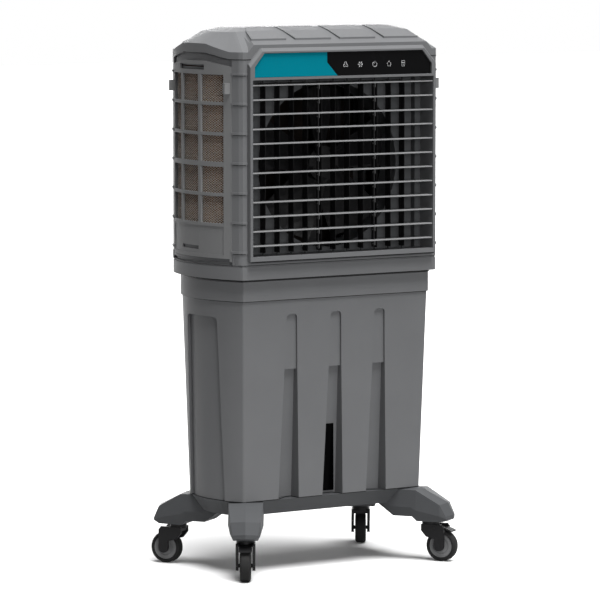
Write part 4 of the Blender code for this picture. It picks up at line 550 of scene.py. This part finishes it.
def outer_line(node, side):
    """Points of x and y along a side pad's outer face, front to back."""
    rows = {}
    for vertex in NODES[node].data.vertices:
        key = round(vertex.co.y, 5)
        if key not in rows or vertex.co.x * side > rows[key] * side:
            rows[key] = vertex.co.x
    ys = sorted(rows)
    outer = [(rows[y], y) for y in ys]
    kept = [outer[0]]
    for point in outer[1:]:
        if point[1] - kept[-1][1] > LINE_STEP:
            kept.append(point)
    return kept


def add_block(bm, line, inner_line, inward, rows, back):
    """A closed block behind a line: each row is a height and how deep its outer face lies."""
    rings = []
    for z, front in rows:
        outer = [bm.verts.new((x + inward[0] * front, y + inward[1] * front, z)) for x, y in line]
        inner = [bm.verts.new((x + inward[0] * back, y + inward[1] * back, z)) for x, y in inner_line]
        rings.append(outer + inner[::-1])
    for lower, upper in zip(rings, rings[1:]):
        for j in range(len(lower)):
            k = (j + 1) % len(lower)
            bm.faces.new((lower[j], lower[k], upper[k], upper[j]))
    bm.faces.new(rings[0][::-1])
    bm.faces.new(rings[-1])


def fluted_pad(name, line, inward, low, high):
    """A block whose outer face is folded into flutes that run across it."""
    bm = bmesh.new()
    count = round((high - low) / FLUTE_PITCH) * 4
    rows = []
    for i in range(count + 1):
        depth = PAD_CREST + FLUTE_DEPTH * (1 - math.cos(i * math.pi / 2)) / 2
        rows.append((low + (high - low) * i / count, depth))
    add_block(bm, line, (line[0], line[-1]), inward, rows, PAD_BACK)
    return mesh_piece(name, bm)


def pad_rails(name, line, inward, low, high):
    """The rails that hold a pad at its head and its foot; their dark plastic paints the shade in the grip
    slots and notches.
    """
    bm = bmesh.new()
    for start, end in ((low, low + RAIL_FOOT), (high - RAIL_HEAD, high)):
        add_block(bm, line, line, inward, ((start, RAIL_FRONT), (end, RAIL_FRONT)), RAIL_BACK)
    return mesh_piece(name, bm)


def shade_inner_side(fluted, line, inward):
    """The inner side of a pad gets painted shade, darker than the side that shows, as no light reaches it.
    """
    fluted.data.materials.append(INNER_SHADE_PAPER)
    deepest = max(x * inward[0] + y * inward[1] for x, y in line) + PAD_CREST + FLUTE_DEPTH
    for face in fluted.data.polygons:
        depth = face.center.x * inward[0] + face.center.y * inward[1]
        face.material_index = int(depth > deepest + NET_MARGIN)


def net_wires(line, inward, low, high):
    """Two crossing sets of diagonal wires over the strip between low and high."""
    spans = [0.0]
    for (x0, y0), (x1, y1) in zip(line, line[1:]):
        spans.append(spans[-1] + math.hypot(x1 - x0, y1 - y0))
    width = spans[-1]

    def point(s, z):
        i = max(j for j in range(len(spans) - 1) if spans[j] <= s + WELD)
        share = (s - spans[i]) / (spans[i + 1] - spans[i])
        x = line[i][0] + (line[i + 1][0] - line[i][0]) * share + inward[0] * NET_BEHIND
        y = line[i][1] + (line[i + 1][1] - line[i][1]) * share + inward[1] * NET_BEHIND
        return (x, y, z)

    wires = []
    slope = NET_PITCH / NET_RUN
    count = int((width * slope + high - low) / NET_PITCH)
    for k in range(1, count):
        offset = low - width * slope + k * NET_PITCH
        start = max(0.0, (low - offset) / slope)
        end = min(width, (high - offset) / slope)
        if end - start < NET_PITCH:
            continue
        stops = [start] + [s for s in spans if start + WELD < s < end - WELD] + [end]
        wires.append([point(s, offset + s * slope) for s in stops])
        wires.append([point(width - s, offset + s * slope) for s in reversed(stops)])
    return wires


def dress_panel(side_name, line, inward):
    pad = side_name + "_cooling_pad"
    low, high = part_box(pad)
    fluted = fluted_pad(side_name + "_pad_flutes", line, inward, low.z, high.z)
    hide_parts(pad)
    dress(fluted, pad)
    shade_inner_side(fluted, line, inward)
    rails = pad_rails(side_name + "_pad_rails", line, inward, low.z, high.z)
    # Dark rails: real holders whose colour paints the shade where the pad shows through the grip slots and
    # notches
    dress(rails, pad, MATERIALS["dark_plastic"])
    bottom = low.z + RAIL_FOOT + NET_MARGIN
    top = high.z - RAIL_HEAD - NET_MARGIN
    net = stroke_piece(side_name + "_insect_net", net_wires(line, inward, bottom, top), NET_WIRE)
    dress(net, side_name + "_pad_grille", NET_PLASTIC)


def foot_shade(side_name, side):
    """The dark strip of painted shade along a side panel's foot, over the gap that it leaves."""
    node = side_name + "_pad_grille"
    low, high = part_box(node)
    surface = surface_of(node)
    first, last = low.y + SHADE_INSET, high.y - SHADE_INSET
    line = []
    for i in range(SHADE_STEPS + 1):
        start = Vector((side, first + (last - first) * i / SHADE_STEPS, low.z + SHADE_HEIGHT / 2))
        hit = surface.ray_cast(start, Vector((-side, 0, 0)))[0]
        line.append((hit.x, hit.y))
    bm = bmesh.new()
    rows = [(z, SHADE_FRONT) for z in (low.z, low.z + SHADE_HEIGHT)]
    add_block(bm, line, line, (-side, 0), rows, SHADE_BACK)
    strip = mesh_piece(side_name + "_foot_shade", bm)
    dress(strip, node, MATERIALS["dark_plastic"])


def dress_panels():
    for side_name, side in (("left", -1), ("right", 1)):
        dress_panel(side_name, outer_line(side_name + "_cooling_pad", side), (-side, 0))
        foot_shade(side_name, side)
    low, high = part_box("rear_cooling_pad")
    dress_panel("rear", [(low.x, high.y), (high.x, high.y)], (0, -1))


# Wheels

def turned(name, profile, centre, axis, closed):
    """A profile of radius and offset turned about an axis through the centre."""
    axis = Vector(axis).normalized()
    across = Vector((0, 0, 1))
    third = axis.cross(across)
    bm = bmesh.new()
    rings = []
    for i in range(WHEEL_STEPS):
        angle = 2 * math.pi * i / WHEEL_STEPS
        out = across * math.cos(angle) + third * math.sin(angle)
        rings.append([bm.verts.new(centre + out * radius + axis * off) for radius, off in profile])
    for i, ring in enumerate(rings):
        after = rings[(i + 1) % WHEEL_STEPS]
        last = len(profile) if closed else len(profile) - 1
        for j in range(last):
            k = (j + 1) % len(profile)
            bm.faces.new((ring[j], ring[k], after[k], after[j]))
    return mesh_piece(name, bm)


def dress_wheel(corner):
    """A rounded tyre round a dished hub disc with a cap on each side."""
    node = "caster_wheel_" + corner
    low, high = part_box(node)
    centre = (low + high) / 2
    radius = (high.z - low.z) / 2
    joint = next(j for j in frame["joints"] if j["name"] == "roll_" + corner)
    axis = Vector(joint["axis"])
    half = max((v.co - centre).dot(axis) for v in NODES[node].data.vertices)
    upper = [
        (HUB_RADIUS, half * TYRE_SEAT[0]),
        (HUB_RADIUS + HUB_EDGE, half * TYRE_SEAT[1]),
        (HUB_RADIUS + TYRE_LIP, half),
    ]
    for step in range(TYRE_ROUND_STEPS + 1):
        angle = math.pi / 2 * step / TYRE_ROUND_STEPS
        reach = radius - TYRE_SHOULDER + TYRE_SHOULDER * math.sin(angle)
        upper.append((reach, half - TYRE_SHOULDER * (1 - math.cos(angle))))
    profile = upper + [(r, -off) for r, off in reversed(upper)]
    tyre = turned("tyre_" + corner, profile, centre, axis, True)
    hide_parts(node)
    dress(tyre, node)
    face = half * HUB_FACE
    wide_gap, thin_gap = HUB_GAP
    upper = [
        (BORE_RADIUS, face + HUB_CREASE),
        (HUB_CAP, face + HUB_CREASE),
        (HUB_CAP + HUB_EDGE, face - HUB_DISH),
        (HUB_RADIUS * HUB_RING[0], face - HUB_DISH),
        (HUB_RADIUS * HUB_RING[1], face - HUB_CREASE),
        (HUB_RADIUS - wide_gap, face - thin_gap),
        (HUB_RADIUS - thin_gap, face - HUB_EDGE),
    ]
    profile = upper + [(r, -off) for r, off in reversed(upper)]
    hub = turned("hub_" + corner, profile, centre, axis, True)
    dress(hub, node, HUB_PLASTIC)


# Posts

def foot_ridges(surface, side, end):
    """Short upright ridges on a post's side face."""
    ridges = []
    for i in range(RIDGE_COUNT):
        y = end * (RIDGE_START + i * RIDGE_PITCH)
        starts = [Vector((side, y, z)) for z in (RIDGE_LOW, RIDGE_HIGH)]
        ridges.append([surface.ray_cast(start, Vector((-side, 0, 0)))[0] for start in starts])
    return ridges


def rib_shadow_lines(surface, side, end):
    """Lines of painted shadow round a post, from the panel's edge to the bezel, just under each rib."""
    rib_shadows = []
    for i in range(RIB_SHADOW_COUNT):
        middle = Vector((side * RIB_SHADOW_FROM[0], end * RIB_SHADOW_FROM[1], RIB_SHADOW_FIRST + i * RIB_SHADOW_PITCH))
        rib_shadow = []
        for step in range(RIB_SHADOW_STEPS + 1):
            angle = math.pi / 2 * step / RIB_SHADOW_STEPS
            out = Vector((side * math.cos(angle), end * math.sin(angle), 0))
            hit = surface.ray_cast(middle + out, -out)[0]
            if hit and abs(hit.y) > RIB_SHADOW_START and abs(hit.x) > RIB_SHADOW_END:
                rib_shadow.append(hit)
        rib_shadows.append(rib_shadow)
    return rib_shadows


def surface_of(node):
    mesh = NODES[node].data
    return BVHTree.FromPolygons([v.co for v in mesh.vertices], [p.vertices for p in mesh.polygons])


# Black rods that paint shadow lines along edges and joints
def painted_shadow_line(name, node, lines, radius):
    dress(stroke_piece(name, lines, radius), node, MATERIALS["black_plastic"])


def dress_posts():
    surface = surface_of("hood_body")
    for corner in CORNERS:
        end, side = (1 if word in ("rear", "right") else -1 for word in corner.split("_"))
        ridges = stroke_piece("post_ridges_" + corner, foot_ridges(surface, side, end), RIDGE_RADIUS)
        dress(ridges, "hood_body")
        painted_shadow_line("post_rib_shadows_" + corner, "hood_body", rib_shadow_lines(surface, side, end), RIB_SHADOW_RADIUS)


# Painted shadow lines where parts meet

def ring_line(surface, heights):
    """Points round a wall, each at the first of the heights where the wall is met."""
    points = []
    for i in range(SHADOW_LINE_STEPS):
        angle = 2 * math.pi * i / SHADOW_LINE_STEPS
        out = Vector((math.cos(angle), math.sin(angle), 0))
        starts = (out + Vector((0, 0, z)) for z in heights)
        hits = (surface.ray_cast(start, -out)[0] for start in starts)
        points += [hit for hit in hits if hit and hit.dot(out) > 0][:1]
    return points + points[:1]


def dress_joint_shadows():
    """Dark lines of painted shadow under the skirt and where collar, base, skirt, bezel and lid meet."""
    tank = surface_of("tank")
    under_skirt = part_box("hood_body")[0].z - SKIRT_SHADOW_DROP
    painted_shadow_line("skirt_shadow_line", "tank", [ring_line(tank, [under_skirt])], SKIRT_SHADOW_RADIUS)
    painted_shadow_line("tank_shadow_lines", "tank", [ring_line(tank, [z]) for z in (COLLAR_FOOT, TANK_FOOT)], SHADOW_LINE_RADIUS)
    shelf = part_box("left_pad_grille")[0].z - SHELF_DROP
    painted_shadow_line("skirt_shelf_shadow", "hood_body", [ring_line(surface_of("hood_body"), [shelf])], SHELF_RADIUS)
    low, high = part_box("grille_bezel")
    ends = (low.x + BEZEL_FOOT_INSET, high.x - BEZEL_FOOT_INSET)
    foot = [(x, low.y + BEZEL_FOOT_BACK, low.z - BEZEL_FOOT_DROP) for x in ends]
    painted_shadow_line("bezel_foot_shadow", "grille_bezel", [foot], BEZEL_FOOT_RADIUS)
    lid_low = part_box("top_cover")[0].z
    heights = [lid_low + (i + 1) * LID_SHADOW_RISE for i in range(LID_SHADOW_TRIES)]
    painted_shadow_line("lid_edge_shadow", "top_cover", [ring_line(surface_of("top_cover"), heights)], SHADOW_LINE_RADIUS)


# Control panel print: each sign is drawn in a square of side 1 about its middle

def arc(middle, radius, start, end, count=18):
    """Points along an arc; the angles are in turns."""
    points = []
    for i in range(count + 1):
        angle = 2 * math.pi * (start + (end - start) * i / count)
        points.append((middle[0] + radius * math.cos(angle), middle[1] + radius * math.sin(angle)))
    return points


def fan_icon():
    strokes = []
    for i in range(FAN_BLADES):
        turn = i / FAN_BLADES + FAN_START
        angle = 2 * math.pi * turn
        middle = (FAN_REACH * math.cos(angle), FAN_REACH * math.sin(angle))
        strokes.append(arc(middle, FAN_BLADE, turn + FAN_SWEEP[0], turn + FAN_SWEEP[1]))
    return strokes


def snow_icon():
    strokes = []
    for i in range(SNOW_ARMS):
        angle = 2 * math.pi * i / SNOW_ARMS
        root, knee, tip = ((r * math.cos(angle), r * math.sin(angle)) for r in SNOW_STOPS)
        strokes.append([root, tip])
        for way in (angle - SNOW_LEAN, angle + SNOW_LEAN):
            end = (knee[0] + SNOW_TWIG * math.cos(way), knee[1] + SNOW_TWIG * math.sin(way))
            strokes.append([knee, end])
    return strokes


def power_icon():
    return [arc((0, -POWER_DROP), POWER_RADIUS, *POWER_SWEEP), [(0, v) for v in POWER_BAR]]


def vent_icon():
    right = [(VENT_WALL, VENT_FOOT), (VENT_WALL, VENT_EAVES[1]), VENT_EAVES]
    left = [(-u, v) for u, v in reversed(right)]
    return [right + [(0, VENT_RIDGE)] + left + right[:1]]


def tank_icon():
    u, v = VESSEL_HALF
    mark, height = VESSEL_MARK
    walls = [(-u, v), (-u, -v), (u, -v), (u, v), (-u, v)]
    return [walls, [(-u, VESSEL_LEVEL), (u, VESSEL_LEVEL)], [(-mark, height), (mark, height)]]


def head_line():
    """The upper edge of the panel's front face, from corner to corner."""
    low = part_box("control_fascia")[0]
    corners = set()
    for vertex in NODES["control_fascia"].data.vertices:
        if vertex.co.y < low.y + WELD and vertex.co.z > low.z + WELD:
            corners.add(tuple(round(value, 5) for value in vertex.co))
    return sorted(corners)


def dress_fascia():
    # Painted shadow along the panel's upper edge, where it sits in its pocket
    painted_shadow_line("panel_head_shadow", "control_fascia", [head_line()], HEAD_SHADE)
    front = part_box("control_fascia")[0].y - ICON_LIFT
    icons = {"fan": fan_icon, "cool": snow_icon, "power": power_icon, "vent": vent_icon, "tank": tank_icon}
    for x, (name, icon) in zip(ICON_X, icons.items()):
        strokes = []
        for stroke in icon():
            strokes.append([(x + u * ICON_SIZE, front, ICON_Z + v * ICON_SIZE) for u, v in stroke])
        dress(stroke_piece("key_" + name, strokes, ICON_STROKE), "control_fascia", PRINT)


# Dressing of every node

SHELLS = {
    "tank": None,
    "hood_body": None,
    "grille_bezel": None,
    # The cowl gets painted shade for the dark inside of the outlet
    "fan_cowl": COWL_SHADED_PLASTIC,
    # The base gets painted shade for the shadow under tank and hood
    "base_chassis": BASE_SHADED_PLASTIC,
}
GRILLES = ("left_pad_grille", "right_pad_grille", "rear_pad_grille")
CORNERS = ("front_left", "front_right", "rear_left", "rear_right")


def dress_all():
    for node, obj in NODES.items():
        obj.data.materials.clear()
        obj.data.materials.append(MATERIALS[SLOTS[node]])
    for node, finish in SHELLS.items():
        refined(node, SHELL_EDGE, SHELL_FACET, finish)
    refined("top_cover", SHELL_EDGE, LID_FACET)
    for node in GRILLES:
        refined(node, GRILLE_EDGE, SMOOTH_ANGLE, GRILLE_PLASTIC)
    for node in NODES:
        if node.startswith("louvre_") and "link" not in node:
            refined(node, BLADE_EDGE)
        elif node.startswith(("caster_fork_", "brake_pedal_", "vane_", "control_fascia", "drain_plug")):
            refined(node, SMALL_EDGE)
    for corner in CORNERS:
        dress_wheel(corner)
    dress_panels()
    dress_posts()
    dress_joint_shadows()
    dress_fascia()


# Studio

def ray_share(tree):
    """1 for rays from the camera, mirror reflections and glass, 0 for diffuse light."""
    path = tree.nodes.new("ShaderNodeLightPath")
    share = math_node(tree, "MAXIMUM", path.outputs["Is Camera Ray"], path.outputs["Is Glossy Ray"])
    return math_node(tree, "MAXIMUM", share, path.outputs["Is Transmission Ray"])


def make_floor():
    bm = bmesh.new()
    bmesh.ops.create_grid(bm, x_segments=1, y_segments=1, size=FLOOR_HALF)
    floor = mesh_piece("floor", bm, smooth=False)
    made = bpy.data.materials.new("pale_floor")
    made.use_nodes = True
    tree = made.node_tree
    tree.nodes.clear()
    seen = add(tree, "ShaderNodeBsdfDiffuse", Color=(FLOOR_SEEN, FLOOR_SEEN, FLOOR_SEEN, 1))
    place = add(tree, "ShaderNodeTexCoord").outputs["Object"]
    reach = add(tree, "ShaderNodeVectorMath", operation="LENGTH")
    wire(tree, place, reach.inputs[0])
    fade = tree.nodes.new("ShaderNodeMapRange")
    for key, value in zip(fade.inputs.keys()[1:5], (NEAR_RADIUS, FAR_RADIUS, FLOOR_NEAR, FLOOR_FAR)):
        fade.inputs[key].default_value = value
    wire(tree, reach.outputs["Value"], fade.inputs["Value"])
    bounce = add(tree, "ShaderNodeBsdfDiffuse")
    wire(tree, fade.outputs["Result"], bounce.inputs["Color"])
    mix = tree.nodes.new("ShaderNodeMixShader")
    wire(tree, ray_share(tree), mix.inputs[0])
    wire(tree, bounce.outputs[0], mix.inputs[1])
    wire(tree, seen.outputs[0], mix.inputs[2])
    output = tree.nodes.new("ShaderNodeOutputMaterial")
    wire(tree, mix.outputs[0], output.inputs["Surface"])
    floor.data.materials.append(made)


def make_sun(name, source, strength, softness):
    lamp = bpy.data.lights.new(name, "SUN")
    lamp.energy = strength
    lamp.angle = softness
    sun = link(bpy.data.objects.new(name, lamp))
    sun.rotation_mode = "QUATERNION"
    sun.rotation_quaternion = Vector(source).to_track_quat("Z", "Y")


def make_light():
    world = bpy.data.worlds.new("studio")
    bpy.context.scene.world = world
    world.use_nodes = True
    tree = world.node_tree
    background = tree.nodes["Background"]
    background.inputs["Color"].default_value = (1, 1, 1, 1)
    strength = math_node(tree, "MULTIPLY_ADD", ray_share(tree), 1 - AMBIENT)
    strength.node.inputs[2].default_value = AMBIENT
    wire(tree, strength, background.inputs["Strength"])
    make_sun("top", TOP_FROM, TOP_STRENGTH, TOP_SOFTNESS)
    make_sun("fill", FILL_FROM, FILL_STRENGTH, FILL_SOFTNESS)
    make_sun("back", BACK_FROM, BACK_STRENGTH, BACK_SOFTNESS)


def make_camera():
    lens = bpy.data.cameras.new("camera")
    lens.lens = CAMERA_LENS
    lens.sensor_width = SENSOR_WIDTH
    lens.clip_end = VIEW_DEPTH
    camera = link(bpy.data.objects.new("camera", lens))
    camera.location = CAMERA_AT
    toward = Vector(CAMERA_TARGET) - Vector(CAMERA_AT)
    camera.rotation_mode = "QUATERNION"
    camera.rotation_quaternion = toward.to_track_quat("-Z", "Y")
    bpy.context.scene.camera = camera


dress_all()
make_floor()
make_light()
make_camera()
bpy.context.scene.view_settings.view_transform = "Standard"

bpy.context.view_layer.update()
